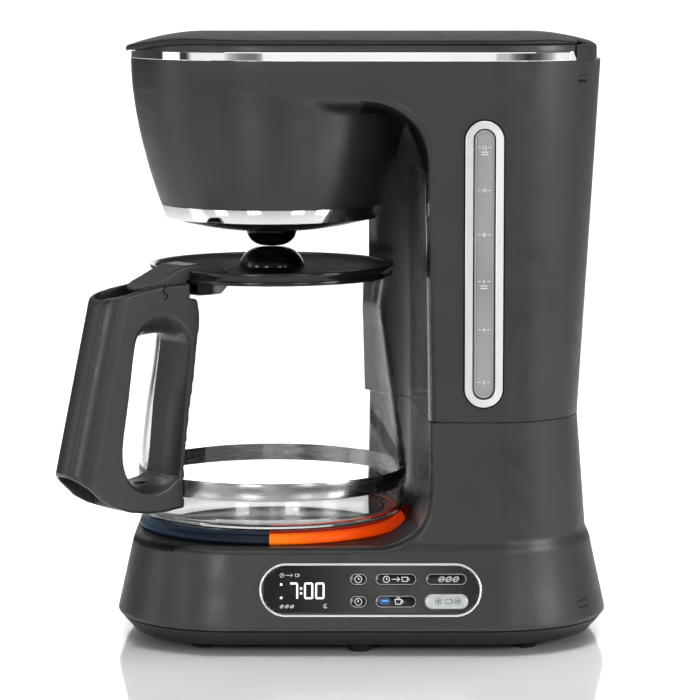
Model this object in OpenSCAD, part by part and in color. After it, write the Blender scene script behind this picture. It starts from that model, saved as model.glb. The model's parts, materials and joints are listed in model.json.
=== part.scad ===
// Programmable drip coffee maker: side-open body with a water tank in its
// column, a round brew head over a glass carafe, and a control panel in front.
// Millimetres, +Z up. The control panel faces -Y and the tank column is at +X.

/* [Base] */
// Width of the base at its widest line
base_w = 275; // [272:1:278]
// Depth of the base at its widest line
base_d = 193; // [192:1:196]
// Corner radius of the base in plan
base_r = 66; // [62:1:68]
// Height of the widest line of the base
base_z = 13.5; // [13:0.5:14]
// Height of the deck round the warming plate
deck_z = 58; // [57.5:0.5:58]
// Wall of the plastic housings
wall = 2.5; // [2.2:0.1:2.6]

/* [Column and head] */
// Height of the seam between the base and the upper housing
seam_z = 126.4; // [125:0.2:128]
// Height of the upper housing's top edge, under the bright band
top_z = 322.8; // [322.6:0.1:323]
// Height of the bright band's top edge
band_z = 327.6; // [327.4:0.1:327.7]
// Radius of the alcove wall about the carafe's axis
alcove_r = 81.3; // [80.5:0.1:82]
// Radius of the brew head at its top
head_top_r = 78.7; // [78:0.1:79]
// How much the brew head narrows down to its bright ring
head_drop = 16.3; // [15.8:0.1:16.6]

/* [Carafe] */
// Distance of the carafe's axis to the left of the base's middle
carafe_x = 50.8; // [50.5:0.1:51]
// Direction of the handle, from straight left towards the front
handle_a = 41; // [39:1:43]
// Width of the handle
handle_w = 28; // [27:0.5:29]
// Thickness of the carafe's glass
glass_t = 2.4; // [2.2:0.1:2.6]
// Radius of the carafe's lid
lid_r = 68; // [67.9:0.1:68.2]

/* [Water window] */
// Sideways place of the window's middle
win_x = 66.2; // [65:0.2:67]
// Width of the window's frame
win_w = 20.6; // [20:0.2:21]
// Lower end of the window's frame
win_z0 = 135.1; // [135:0.5:136]
// Upper end of the window's frame
win_z1 = 290.9; // [290:0.5:291]

/* [Control panel] */
// Sideways place of the panel's middle
panel_x = 4.7; // [4:0.1:5.5]
// Width of the panel's rim
panel_w = 121.4; // [121:0.2:122]
// Height of the panel's rim along the sloping face
panel_h = 29.2; // [29:0.1:29.6]
// Travel of the push buttons
key_travel = 0.8; // [0.6:0.1:0.9]

/* [Lid] */
// Height of the lid's crown
lid_z = 337.5; // [337:0.1:338]
// Radius of the lid's hinge pin
pin_r = 1.6; // [1.5:0.1:1.7]

/* [Hidden] */
$fn = 64;
hf = 32;

grey = [0.22, 0.22, 0.23];
dark = [0.07, 0.07, 0.075];
bright = [0.85, 0.86, 0.88];

ax = -carafe_x;            // carafe and brew head axis
flare = tan(12.5);         // slope of the base's sides
sx = 14.81;                // shift that centres the whole outline
sy = 2.58;
elz = 48.5;                // height of the heating tube
hinge_x = 123.5;           // lid hinge
hinge_z = 328.5;
under_gap = 0.4;           // gap between the lid and the rim under it

module place() translate([sx, sy, 0]) children();
module about_axis() translate([ax, 0, 0]) children();
module disc(x, y, r, z) translate([x, y, z]) cylinder(r = r, h = 0.01, $fn = hf);
module tube(ro, ri, h) difference() {
  cylinder(r = ro, h = h);
  translate([0, 0, -1]) cylinder(r = ri, h = h + 2);
}
module stadium(w, h) union() {
  r = min(w, h) / 2;
  square(w > h ? [w - 2 * r, h] : [w, h - 2 * r], center = true);
  for (s = [-1, 1]) translate(w > h ? [s * (w / 2 - r), 0] : [0, s * (h / 2 - r)])
    circle(r = r);
}
module rrect(x0, x1, y0, y1, r) union() {
  translate([x0 + r, y0]) square([x1 - x0 - 2 * r, y1 - y0]);
  translate([x0, y0 + r]) square([x1 - x0, y1 - y0 - 2 * r]);
  for (x = [x0 + r, x1 - r], y = [y0 + r, y1 - r]) translate([x, y]) circle(r = r);
}

// ---- shared outlines -------------------------------------------------------
// Flared base, inset by o
module dish(o, z0, z1) hull() for (x = [-1, 1], y = [-1, 1])
  translate([x * (base_w / 2 - base_r), y * (base_d / 2 - base_r), z0])
    cylinder(h = z1 - z0, r1 = base_r - o - (z0 - base_z) * flare,
             r2 = base_r - o - (z1 - base_z) * flare, $fn = hf);
// Foot of the column on the base, inset by o
module col_low(o, z0, z1) hull() for (z = [z0, z1])
  let (t = (z - 50) / (seam_z - 50)) {
    for (s = [-1, 1]) disc(72.4, s * (32.5 + 0.5 * t), 54 - 6 * t - o, z);
    disc(37, 50, 34 - 3 * t - o, z);
    disc(0, -76 + 6 * t, 10 - o, z);
  }
// Column of the upper housing, inset by o
module column(o, z0, z1) hull() for (z = [z0, z1])
  let (t = (z - seam_z) / (top_z - seam_z)) {
    for (s = [-1, 1]) disc(72.4 + 1.4 * t, s * (33 - 12 * t), 48 + 11.6 * t - o, z);
    disc(37 - 4 * t, 50, 31 - 2 * t - o, z);
    disc(0, -70 + 2 * t, 10 - o, z);
  }
function head_r(z) = head_top_r - (z < 320 ? head_drop * pow((320 - z) / 79, 1.737) : 0);
// Whole top outline, inset by o
module slab(o, z0, z1) hull() {
  about_axis() translate([0, 0, z0])
    cylinder(r1 = head_r(z0) - o, r2 = head_r(z1) - o, h = z1 - z0, $fn = 48);
  for (s = [-1, 1]) translate([73.8, s * 21, z0]) cylinder(r = 60 - o, h = z1 - z0, $fn = 48);
}
// Brew head, inset by o, from z0 to z1
module head(o, z0, z1) about_axis() rotate_extrude($fn = 96)
  polygon(concat([[0, z0]],
    [for (i = [0:8]) let (z = z0 + (z1 - z0) * i / 8) [head_r(z) - o, z]], [[0, z1]]));
// Alcove for the carafe, grown by g
module alcove(g) {
  k = (alcove_r + g) / alcove_r;
  zt = 297.6 + g;
  zb = deck_z - g;
  xr = 40.5 + g;
  intersection() {
    translate([0, 0, zb]) linear_extrude(height = zt - zb) union() {
      translate([ax, 0]) circle(r = alcove_r + g);
      polygon([[-300, -160], [50 + g, -160], [alcove_r + ax + g, 0], [ax, 0],
        [ax + 55.3 * k, 59.6 * k], [ax + 55.3 * k, 160], [-300, 160]]);
    }
    rotate([90, 0, 0]) linear_extrude(height = 400, center = true) union() {
      translate([-310, zb]) square([xr - 45 + 310, zt - zb]);
      translate([-310, zb]) square([xr - 34 + 310, 60]);
      translate([-310, zb + 34]) square([xr + 310, zt - zb - 79]);
      translate([xr - 45, zt - 45]) circle(r = 45);
      translate([xr - 34, zb + 34]) circle(r = 34);
    }
  }
}
// Everything below the lid's underside, lowered by g
module under_lid(g) rotate([90, 0, 0]) translate([0, 0, -150]) linear_extrude(height = 300)
  polygon([[-200, 200], [200, 200], [200, 331.6 - g], [-96, 331.6 - g], [-110, 330.6 - g],
    [-120, 329 - g], [-127.7, 327.6 - g], [-134, 326 - g], [-200, 326 - g]]);
// Sloping front face: local x is +X, local y is up the slope, local z points out
module on_panel() translate([panel_x, -(base_d / 2) + (35.95 - base_z) * flare, 35.95])
  rotate([90 - 12.5, 0, 0]) children();
// Sloping back face, where the mains lead enters: local z points out
module on_back() translate([60, base_d / 2 - (30 - base_z) * flare, 30])
  rotate([-(90 - 12.5), 0, 0]) children();
// Front wall of the column: local x is +X, local y is up, local z points out
module on_column() translate([win_x, -81, (win_z0 + win_z1) / 2])
  rotate([90, 0, 0]) children();
// Carafe handle: local x points out along the handle
module on_handle() about_axis() rotate([0, 0, 180 + handle_a]) children();
module across(w) rotate([90, 0, 0]) translate([0, 0, -w / 2]) linear_extrude(height = w) children();

foot_at = [[-87.5, -68], [90, -68], [-1, -78], [-87.5, 68], [90, 68]];
screw_at = [[-100, -40], [-100, 40], [104, -40], [104, 40]];

// ---- base -------------------------------------------------------------------
module bottom_cover() color(grey) place() difference() {
  hull() for (x = [-1, 1], y = [-1, 1])
    translate([x * (base_w / 2 - base_r), y * (base_d / 2 - base_r), 4.5])
      cylinder(h = base_z - 0.3 - 4.5, r1 = base_r - 8.5, r2 = base_r - 0.7, $fn = hf);
  hull() for (x = [-1, 1], y = [-1, 1])
    translate([x * (base_w / 2 - base_r), y * (base_d / 2 - base_r), 7])
      cylinder(h = base_z - 6, r1 = base_r - 9, r2 = base_r - 2.9, $fn = hf);
  for (p = screw_at) translate([p[0], p[1], 0]) cylinder(r = 1.9, h = 20);
  for (p = foot_at) translate([p[0], p[1], 0]) cylinder(r = 2.6, h = 20);
}
module rubber_feet() color(dark) place() for (p = foot_at) translate([p[0], p[1], 0]) {
  cylinder(r1 = 6.4, r2 = 7, h = 4.5);
  translate([0, 0, 4]) cylinder(r = 2.6, h = 4.6);
}
module bottom_screws() color("silver") place() for (p = screw_at) translate([p[0], p[1], 0]) {
  translate([0, 0, 2.4]) cylinder(r = 3.4, h = 2.1);
  translate([0, 0, 4.4]) cylinder(r = 1.8, h = 18);
}
module base_housing() color(grey) place() {
  difference() {
    union() {
      difference() {
        union() {
          dish(0, base_z, deck_z + 2);
          col_low(0, 50, seam_z);
        }
        alcove(0);
        about_axis() translate([0, 0, deck_z]) cylinder(r = 77, h = 40);
      }
    }
    difference() {
      union() {
        dish(wall, base_z - 1, deck_z - wall - 0.1);
        col_low(wall, 40, seam_z + 1);
      }
      alcove(wall);
      about_axis() translate([0, 0, deck_z - wall]) cylinder(r = 77 + wall, h = 20);
      for (p = screw_at) translate([p[0], p[1], 7.05]) cylinder(r = 4, h = 60);
      for (s = [-1, 1]) translate([104, s * 40 - 1.25, 15]) cube([40, 2.5, 40]);
    }
    for (p = screw_at) translate([p[0], p[1], 0]) cylinder(r = 1.8, h = 24);
    about_axis() translate([0, 0, 50]) cylinder(r = 60, h = 20);
    on_panel() translate([0, 0, -12]) linear_extrude(height = 20)
      stadium(panel_w - 2, panel_h - 2);
    on_back() translate([0, 0, -12]) cylinder(r = 6, h = 30);
    translate([0, 0, -20]) cube([500, 500, 55.2], center = true);
  }
  for (p = screw_at) translate([p[0], p[1], 7.05]) tube(4, 1.8, 9);
}
module warming_plate() color([0.1, 0.1, 0.11]) place() about_axis() rotate_extrude()
  polygon([[0, elz + 5.1], [59.5, elz + 5.1], [59.5, 61.6], [64.3, 61.6], [64.3, 63.4], [63.5, 64.2], [0, 64.2]]);
module warming_plate_ring() color([0.75, 0.2, 0.05]) place() about_axis() rotate_extrude()
  polygon([[59.7, 58.05], [75.2, 58.05], [75.7, 59], [75.5, 62], [74.4, 63.7], [72.6, 64.2],
    [66, 64.2], [64.6, 63.6], [64.6, 61.4], [59.7, 61.4]]);
module heating_element() color("silver") place() {
  about_axis() rotate([0, 0, 25]) rotate_extrude(angle = 310) translate([42, elz]) circle(r = 5);
  for (s = [-1, 1]) about_axis() translate([42 * cos(25), s * 42 * sin(25), elz])
    rotate([0, 90, 0]) cylinder(r = 4.6, h = s > 0 ? 40.6 : 70.6);
}
module thermostat() color([0.8, 0.78, 0.7]) place() about_axis() {
  translate([0, 0, elz - 4]) cylinder(r = 9, h = 9);
  translate([0, 0, elz - 6]) cylinder(r = 11, h = 2.1);
}
module thermal_fuse() color("white") place() about_axis() translate([-20, 0, elz + 2])
  rotate([90, 0, 0]) cylinder(r = 3, h = 26, center = true);
// Feed from the tank down to the heating tube, with a valve that stops backflow
feed_y = -42 * sin(25);
module cold_water_hose() color([0.85, 0.85, 0.83]) place()
  translate([66, feed_y, 66]) tube(8.2, 6.1, 58);
module check_valve() color([0.9, 0.9, 0.9]) place() translate([66, feed_y, 43]) difference() {
  union() {
    cylinder(r = 9, h = 22.8);
    translate([-16, 0, elz - 43]) rotate([0, 90, 0]) cylinder(r = 6.4, h = 12);
  }
  translate([-17, 0, elz - 43]) rotate([0, 90, 0]) cylinder(r = 4.65, h = 9);
  translate([0, 0, 3]) cylinder(r = 4.6, h = 12);
  translate([0, 0, 14]) cylinder(r = 3, h = 20);
}
module check_ball() color("white") place() translate([66, feed_y, 49.8]) sphere(r = 3.6);
module riser_tube() color([0.85, 0.85, 0.83]) place() difference() {
  union() {
    translate([33, 58, elz]) cylinder(r = 5, h = 324.2 - elz);
    translate([33, -feed_y, elz]) rotate([-90, 0, 0]) cylinder(r = 5, h = 58 + feed_y);
    translate([33, 58, elz]) sphere(r = 5.2);
    translate([33, -feed_y, elz]) sphere(r = 6.4);
    translate([21, -feed_y, elz]) rotate([0, 90, 0]) cylinder(r = 6.4, h = 12);
  }
  translate([20, -feed_y, elz]) rotate([0, 90, 0]) cylinder(r = 4.65, h = 8);
}
module shower_head() color(dark) place() {
  difference() {
    union() {
      about_axis() translate([0, 0, 318.5]) cylinder(r = 16, h = 9);
      translate([ax, 0, 324.3]) rotate([0, 0, atan2(58, 33 - ax)])
        translate([0, -6, 0.1]) cube([sqrt(pow(33 - ax, 2) + 58 * 58), 12, 2.9]);
      translate([33, 58, 324.3]) cylinder(r = 7, h = 3.2);
    }
    for (a = [0:45:315]) about_axis() rotate([0, 0, a]) translate([10.5, 0, 315])
      cylinder(r = 1.2, h = 8);
  }
}
module cord_gland() color(dark) place() on_back() difference() {
  union() {
    translate([0, 0, 0.1]) cylinder(r = 8, h = 3.4);
    translate([0, 0, -5.4]) cylinder(r = 5.9, h = 6);
    translate([0, 0, -5.4]) cylinder(r = 7.4, h = 2.6);
  }
  translate([0, 0, -9]) cylinder(r = 3.5, h = 20);
}

// ---- column and head --------------------------------------------------------
module water_tank() color([0.75, 0.77, 0.8]) place() difference() {
  union() {
    difference() {
      column(3.4, 128.5, 319);
      alcove(3.4);
      translate([-300, -200, 100]) cube([336, 400, 250]);
      translate([20, 34, 100]) cube([32, 80, 250]);
    }
    translate([66, feed_y, 118]) cylinder(r = 6, h = 12);
  }
  difference() {
    column(5.6, 130.7, 320);
    alcove(5.6);
    translate([-300, -200, 100]) cube([338.2, 400, 250]);
    translate([20, 31.8, 100]) cube([34.2, 80, 250]);
  }
  translate([66, feed_y, 110]) cylinder(r = 4.4, h = 30);
}
module upper_housing() color(grey) place() difference() {
  union() {
    difference() {
      union() {
        slab(0, 297, top_z);
        column(0, seam_z + 0.3, top_z);
      }
      alcove(0);
    }
    head(0.5, 241, 298.5);
  }
  difference() {
    union() {
      slab(wall, 297.6 + wall + 0.1, top_z + 1);
      column(wall, seam_z - 1, top_z + 1);
    }
    alcove(wall);
  }
  head(wall + 0.5, 233, 301);
  on_column() translate([0, 0, -10]) linear_extrude(height = 20)
    stadium(14.4, win_z1 - win_z0 - 6.2);
  translate([hinge_x, 0, hinge_z]) rotate([90, 0, 0]) cylinder(r = 10.2, h = 88.4, center = true);
  translate([118, -62, 311]) cube([12, 14, 2.2]);
  translate([-200, -200, top_z]) cube([400, 400, 50]);
}
module window_frame() color(bright) place() on_column() difference() {
  union() {
    translate([0, 0, 0.1]) linear_extrude(height = 1.9) stadium(win_w, win_z1 - win_z0);
    translate([0, 0, -2.2]) linear_extrude(height = 2.4) stadium(14.1, win_z1 - win_z0 - 6.5);
  }
  translate([0, 0, -5]) linear_extrude(height = 10) stadium(12, win_z1 - win_z0 - 10.8);
}
module window_lens() color([0.6, 0.6, 0.6, 0.8]) place() on_column()
  translate([0, 0, -2.2]) linear_extrude(height = 3) stadium(11.8, win_z1 - win_z0 - 11);
module top_trim_band() color(bright) place() intersection() {
  difference() {
    slab(-0.25, top_z, band_z);
    slab(wall, top_z - 1, band_z + 1);
    translate([114, -44.2, 300]) cube([40, 88.4, 60]);
  }
  under_lid(under_gap);
}
module top_frame() color(grey) place() difference() {
  intersection() {
    union() {
      slab(0, band_z, 331.6);
      slab(wall + 0.3, 319.5, band_z + 0.1);
    }
    under_lid(under_gap);
  }
  difference() {
    slab(4.6, 322, 340);
    for (s = [-1, 1]) translate([114, s > 0 ? 44.2 : -49.2, 318]) cube([20, 5, 30]);
  }
  translate([113, -44.2, 319]) cube([40, 88.4, 60]);
  translate([hinge_x, 0, hinge_z]) rotate([90, 0, 0]) cylinder(r = 10.2, h = 88.4, center = true);
  translate([hinge_x, 0, hinge_z]) rotate([90, 0, 0]) cylinder(r = pin_r, h = 97, center = true);
  about_axis() translate([0, 0, 310]) cylinder(r = 70.5, h = 30);
  translate([0, 0, 310]) linear_extrude(height = 30) rrect(57, 110, -54, 54, 14);
  translate([33, 58, 310]) cylinder(r = 7.2, h = 30);
}
module brew_head_ring() color(bright) place() about_axis() rotate_extrude()
  polygon([[58.8, 233.2], [60, 233], [60.5, 233.6], [62.5, 240.4], [62.3, 240.9], [59.8, 240.9], [58.8, 238]]);
module brew_head_floor() color(dark) place() about_axis() rotate_extrude()
  polygon(concat([for (i = [0:6]) let (r = 15.2 + (58.6 - 15.2) * i / 6) [r, 225 + 8 * pow(r / 58.6, 2)]],
    [[58.6, 240.5], [56.4, 240.5]],
    [for (i = [6:-1:0]) let (r = 15.2 + (56.4 - 15.2) * i / 6) [r, 227.4 + 8 * pow(r / 58.6, 2)]]));
module filter_basket() color(dark) place() about_axis() rotate_extrude()
  polygon([[6.2, 240], [50, 240], [69.8, 322.1], [73.6, 322.1], [73.6, 324], [68.2, 324],
    [48.6, 242], [6.2, 242]]);
module drip_stop_plunger() color(dark) place() about_axis() rotate_extrude()
  polygon([[0, 216.7], [6.6, 216.9], [10, 218.2], [12.6, 220.6], [14.1, 223.6], [14.4, 226.6],
    [13.6, 228.6], [5.6, 228.6], [5.6, 242.3], [3.5, 242.3], [3.5, 245.5], [0, 245.5]]);
module drip_stop_seal() color([0.3, 0.1, 0.1]) place() about_axis() translate([0, 0, 242.3])
  tube(9, 3.5, 2.4);
// Coil spring between the plunger and the basket's underside
module drip_stop_spring() color("silver") place() about_axis() coil(8, 0.7, 229.5, 239.1, 4, 14);
module coil(r, w, z0, z1, turns, per) {
  n = turns * per;
  m = 8;
  pts = [for (i = [0:n]) let (a = 360 * i / per, z = z0 + (z1 - z0) * i / n)
    for (j = [0:m - 1]) let (b = 360 * j / m)
      [(r + w * cos(b)) * cos(a), (r + w * cos(b)) * sin(a), z + w * sin(b)]];
  polyhedron(points = pts, faces = concat(
    [[for (j = [0:m - 1]) j]],
    [for (i = [0:n - 1], j = [0:m - 1]) [i * m + j, (i + 1) * m + j, i * m + (j + 1) % m]],
    [for (i = [0:n - 1], j = [0:m - 1]) [i * m + (j + 1) % m, (i + 1) * m + j, (i + 1) * m + (j + 1) % m]],
    [[for (j = [m - 1:-1:0]) n * m + j]]));
}

// ---- control panel ----------------------------------------------------------
// Push buttons: place and size on the panel
keys = [[-6.65, 5.93, 9.42, 6.4], [-6.65, -6.27, 9.42, 6.56], [13.86, 5.93, 22.55, 6.4],
  [13.86, -6.2, 22.55, 6.7], [41.3, 5.93, 22.4, 6.4], [41.36, -6.2, 23.4, 7.8]];
module control_fascia() color([0.03, 0.03, 0.035]) place() on_panel() difference() {
  translate([0, 0, -2.2]) linear_extrude(height = 2.2) stadium(panel_w - 2.3, panel_h - 2.3);
  for (k = keys) translate([k[0], k[1], -5]) linear_extrude(height = 10) stadium(k[2] + 0.7, k[3] + 0.7);
}
module panel_bezel() color(bright) place() on_panel() difference() {
  translate([0, 0, 0.05]) linear_extrude(height = 0.85) stadium(panel_w, panel_h);
  translate([0, 0, -5]) linear_extrude(height = 10) stadium(panel_w - 3.4, panel_h - 3.4);
}
module display_module() color([0.1, 0.1, 0.1]) place() on_panel()
  translate([-34.3, 0, -8]) linear_extrude(height = 5.7) rrect(-15, 15, -8.5, 8.5, 1.5);
module control_board() color([0.05, 0.3, 0.12]) place() on_panel() union() {
  translate([0, 0, -9.7]) linear_extrude(height = 1.6) rrect(-54, 55, -11, 11, 3);
  for (k = keys) translate([k[0], k[1], -8.2]) cylinder(r = 2.6, h = 3.4 - key_travel);
}
module key(i) place() on_panel() translate([keys[i][0], keys[i][1], 0]) {
  translate([0, 0, -2.6]) linear_extrude(height = 3) stadium(keys[i][2], keys[i][3]);
  translate([0, 0, -3.6]) linear_extrude(height = 1.1) stadium(keys[i][2] + 1.6, keys[i][3] + 1.6);
  translate([0, 0, -4.5]) cylinder(r = 2, h = 1);
}
module hour_button() color([0.05, 0.05, 0.055]) key(0);
module minute_button() color([0.05, 0.05, 0.055]) key(1);
module delay_button() color([0.05, 0.05, 0.055]) key(2);
module brew_button() color([0.05, 0.05, 0.055]) key(3);
module strength_button() color([0.05, 0.05, 0.055]) key(4);
module iced_button() color([0.8, 0.82, 0.83]) key(5);

// ---- top lid ----------------------------------------------------------------
module lid_hinge_pin() color("silver") place() translate([hinge_x, 0, hinge_z])
  rotate([90, 0, 0]) cylinder(r = pin_r, h = 93, center = true);
module lid_shell() color(grey) place() difference() {
  union() {
    intersection() {
      hull() {
        translate([ax - 2.8, 0, 315]) cylinder(r = head_top_r + 0.1, h = 30, $fn = 48);
        for (s = [-1, 1]) translate([73.8, s * 21, 315]) cylinder(r = 59.6, h = 30, $fn = 48);
      }
      rotate([90, 0, 0]) translate([0, 0, -150]) linear_extrude(height = 300)
        polygon([[-132.3, 326.4], [-132.3, 329.5], [-127.7, 331.2], [-120, 333.4], [-110, 335.4],
          [-96, 337.2], [-80, 339], [85, 339], [100, 337.2], [114.6, 335.2], [117.6, 334.4],
          [117.6, 331.6], [-96, 331.6], [-110, 330.6], [-120, 329], [-127.7, 327.6]]);
      // crown across the lid
      translate([0, 0, lid_z - 1000]) rotate([0, 90, 0]) cylinder(r = 1000, h = 400, center = true);
    }
    rotate([90, 0, 0]) translate([0, 0, -43.6]) linear_extrude(height = 87.2)
      polygon([[112, 331.6], [112, 335.2], [114.6, 335], [124.5, 333], [131.6, 330.8], [131.6, 323.4],
        [119.4, 323.4], [119.4, 331.6]]);
  }
  translate([hinge_x, 0, hinge_z]) rotate([90, 0, 0]) cylinder(r = pin_r + 0.05, h = 100, center = true);
}
module lid_liner() color(dark) place() intersection() {
  slab(8.5, 328.4, 331.6);
  translate([-95.6, -100, 300]) cube([195.6, 200, 50]);
}

// ---- carafe -----------------------------------------------------------------
// Outside of the glass, from its mouth down to its foot
glass_o = [[66.9, 201.2], [65.3, 189.3], [64.2, 179.7], [66, 167.6], [68.5, 148.2], [71.6, 129.2],
  [74.7, 105], [75.5, 93.5], [75.4, 80], [75.1, 70.3], [73.6, 66.6], [70, 64.7]];
module carafe_glass() color([0.8, 0.85, 0.88, 0.35]) place() about_axis() rotate_extrude($fn = 96)
  polygon(concat([[0, 65.6], [62, 65.6], [64, 64.7]], [for (i = [len(glass_o) - 1:-1:0]) glass_o[i]],
    [for (i = [0:9]) [glass_o[i][0] - glass_t, glass_o[i][1]]],
    [[71, 69], [67, 68], [0, 68]]));
module carafe_band() color("silver") place() about_axis() translate([0, 0, 82]) tube(76.4, 75.65, 9.8);
// Room in front of the grip's middle line and round it: a full round of radius rad
function grip_mid(z) = 111.8 + 0.2536 * (190.5 - z);
module grip_round(rad) union() {
  across(60) polygon([[0, 230], [grip_mid(230), 230], [grip_mid(40), 40], [0, 40]]);
  hull() for (z = [38, 232]) translate([grip_mid(z), 0, z]) cylinder(r = rad, h = 0.01, $fn = 36);
}
module carafe_handle() color(grey) place() on_handle() difference() {
  intersection() {
    across(handle_w) polygon([[69, 200.6], [88, 200.5], [104.7, 198.3], [121.5, 195], [127.5, 191],
      [150.3, 101.5], [146.2, 98.6], [138.1, 92.3], [130.8, 85.7], [122.7, 81.3], [110.7, 76.9],
      [98.9, 75.1], [86.4, 74.9], [82, 75.8], [77.2, 78.6], [77.2, 94], [75.9, 105], [72.8, 129.2],
      [69.7, 148.2], [67.2, 167.6], [65.6, 179.7], [66.6, 189.3]]);
    grip_round(handle_w / 2 + 0.3);
  }
  // finger gap
  across(60) polygon([[75, 158], [80.5, 104], [88, 92.5], [114, 92.5], [121.6, 104], [112.4, 158],
    [104, 168.5], [82, 168.5]]);
  // hollow grip, open at its top and foot
  intersection() {
    across(handle_w - 5.6) polygon([[60, 215], [140, 215], [165, 60], [128, 60], [125, 95],
      [124.8, 104], [115.4, 158], [108, 171.6], [83, 172], [83, 196.6], [60, 196.6]]);
    grip_round(handle_w / 2 - 2.5);
  }
  // lid pin
  translate([88, 0, 190]) rotate([90, 0, 0]) cylinder(r = 1.55, h = 60, center = true);
  // band screw
  translate([70, 0, 86.9]) rotate([0, 90, 0]) cylinder(r = 1.9, h = 30);
  translate([88, 0, 86.9]) rotate([0, 90, 0]) cylinder(r = 3.7, h = 60);
}
module handle_screw() color("silver") place() on_handle() {
  translate([76.6, 0, 86.9]) rotate([0, 90, 0]) cylinder(r = 1.8, h = 12);
  translate([88.05, 0, 86.9]) rotate([0, 90, 0]) cylinder(r = 3.5, h = 2.4);
}
module carafe_lid() color(dark) place() {
  difference() {
    union() {
      about_axis() rotate_extrude() polygon([[0, 202], [61.8, 202], [61.8, 198.4], [63, 198.4], [63, 201.6],
        [67.1, 201.6], [67.1, 199.7], [lid_r, 199.7], [lid_r, 204.4], [67, 205.3], [0, 205.3]]);
      on_handle() across(21.6) polygon([[34, 202.6], [34, 204.6], [42, 206.4], [52, 208.9], [61, 210.4],
        [70, 210], [78, 207.4], [86, 203.9], [94, 200.9], [101, 199], [101, 197], [92, 198.6],
        [91.4, 186.6], [84.6, 186.6], [84.6, 199.8], [70, 200.4], [68.6, 202.6]]);
      on_handle() translate([36, -11, 192.8]) cube([24, 22, 9.6]);
    }
    about_axis() translate([0, 0, 190]) cylinder(r = 9.2, h = 30);
    on_handle() translate([88, 0, 190]) rotate([90, 0, 0]) cylinder(r = 1.55, h = 60, center = true);
  }
}
module carafe_lid_dome() color(dark) place() about_axis() rotate_extrude()
  polygon([[0, 216.4], [6.6, 216.2], [10.6, 214.9], [14.6, 212], [17.2, 208.6], [18.4, 205.35],
    [9, 205.35], [9, 196], [7, 196], [7, 207], [0, 209]]);
module carafe_lid_pin() color("silver") place() on_handle() translate([88, 0, 190])
  rotate([90, 0, 0]) cylinder(r = 1.5, h = handle_w - 1, center = true);

bottom_cover();
rubber_feet();
bottom_screws();
base_housing();
warming_plate();
warming_plate_ring();
heating_element();
thermostat();
thermal_fuse();
cold_water_hose();
check_valve();
check_ball();
riser_tube();
shower_head();
water_tank();
upper_housing();
window_lens();
window_frame();
top_trim_band();
top_frame();
brew_head_ring();
brew_head_floor();
filter_basket();
drip_stop_plunger();
drip_stop_seal();
drip_stop_spring();
control_fascia();
panel_bezel();
display_module();
control_board();
hour_button();
minute_button();
delay_button();
brew_button();
strength_button();
iced_button();
cord_gland();
lid_hinge_pin();
lid_shell();
lid_liner();
carafe_glass();
carafe_band();
carafe_handle();
handle_screw();
carafe_lid();
carafe_lid_dome();
carafe_lid_pin();
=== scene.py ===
"""Looks of the drip coffee maker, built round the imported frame.

Lengths in the shape code are millimetres about the middle of the base, with x to the
right, y away from the front and z up; to_row() turns them into the frame's metres.
"""

import json
import math

import bmesh
import bpy
import numpy as np
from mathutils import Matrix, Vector


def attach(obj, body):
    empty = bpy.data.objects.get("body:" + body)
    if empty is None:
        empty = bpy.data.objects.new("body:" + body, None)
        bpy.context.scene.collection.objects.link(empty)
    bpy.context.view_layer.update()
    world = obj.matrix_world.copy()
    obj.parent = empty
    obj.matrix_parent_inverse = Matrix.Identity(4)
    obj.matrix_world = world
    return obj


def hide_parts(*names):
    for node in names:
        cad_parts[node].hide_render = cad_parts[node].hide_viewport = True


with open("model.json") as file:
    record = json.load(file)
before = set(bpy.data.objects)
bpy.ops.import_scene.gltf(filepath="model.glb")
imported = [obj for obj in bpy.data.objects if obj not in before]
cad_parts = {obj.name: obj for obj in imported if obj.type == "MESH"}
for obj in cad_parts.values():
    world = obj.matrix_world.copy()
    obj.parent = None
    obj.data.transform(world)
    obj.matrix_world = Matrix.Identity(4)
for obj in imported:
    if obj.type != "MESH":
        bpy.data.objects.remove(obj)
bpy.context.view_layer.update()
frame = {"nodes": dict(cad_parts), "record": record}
NODES = frame["nodes"]

SX, SY = 14.81, 2.58          # middle of the base in the row frame
AX = -50.8                    # carafe and brew head axis
PI = math.pi


def to_row(v):
    v = np.array(v, float).reshape(-1, 3)
    v[:, 0] += SX
    v[:, 1] += SY
    return v * 0.001


# ---------------------------------------------------------------- materials
def srgb(*c):
    out = []
    for x in c:
        x = x / 255.0
        out.append(x / 12.92 if x <= 0.04045 else ((x + 0.055) / 1.055) ** 2.4)
    return out


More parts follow.
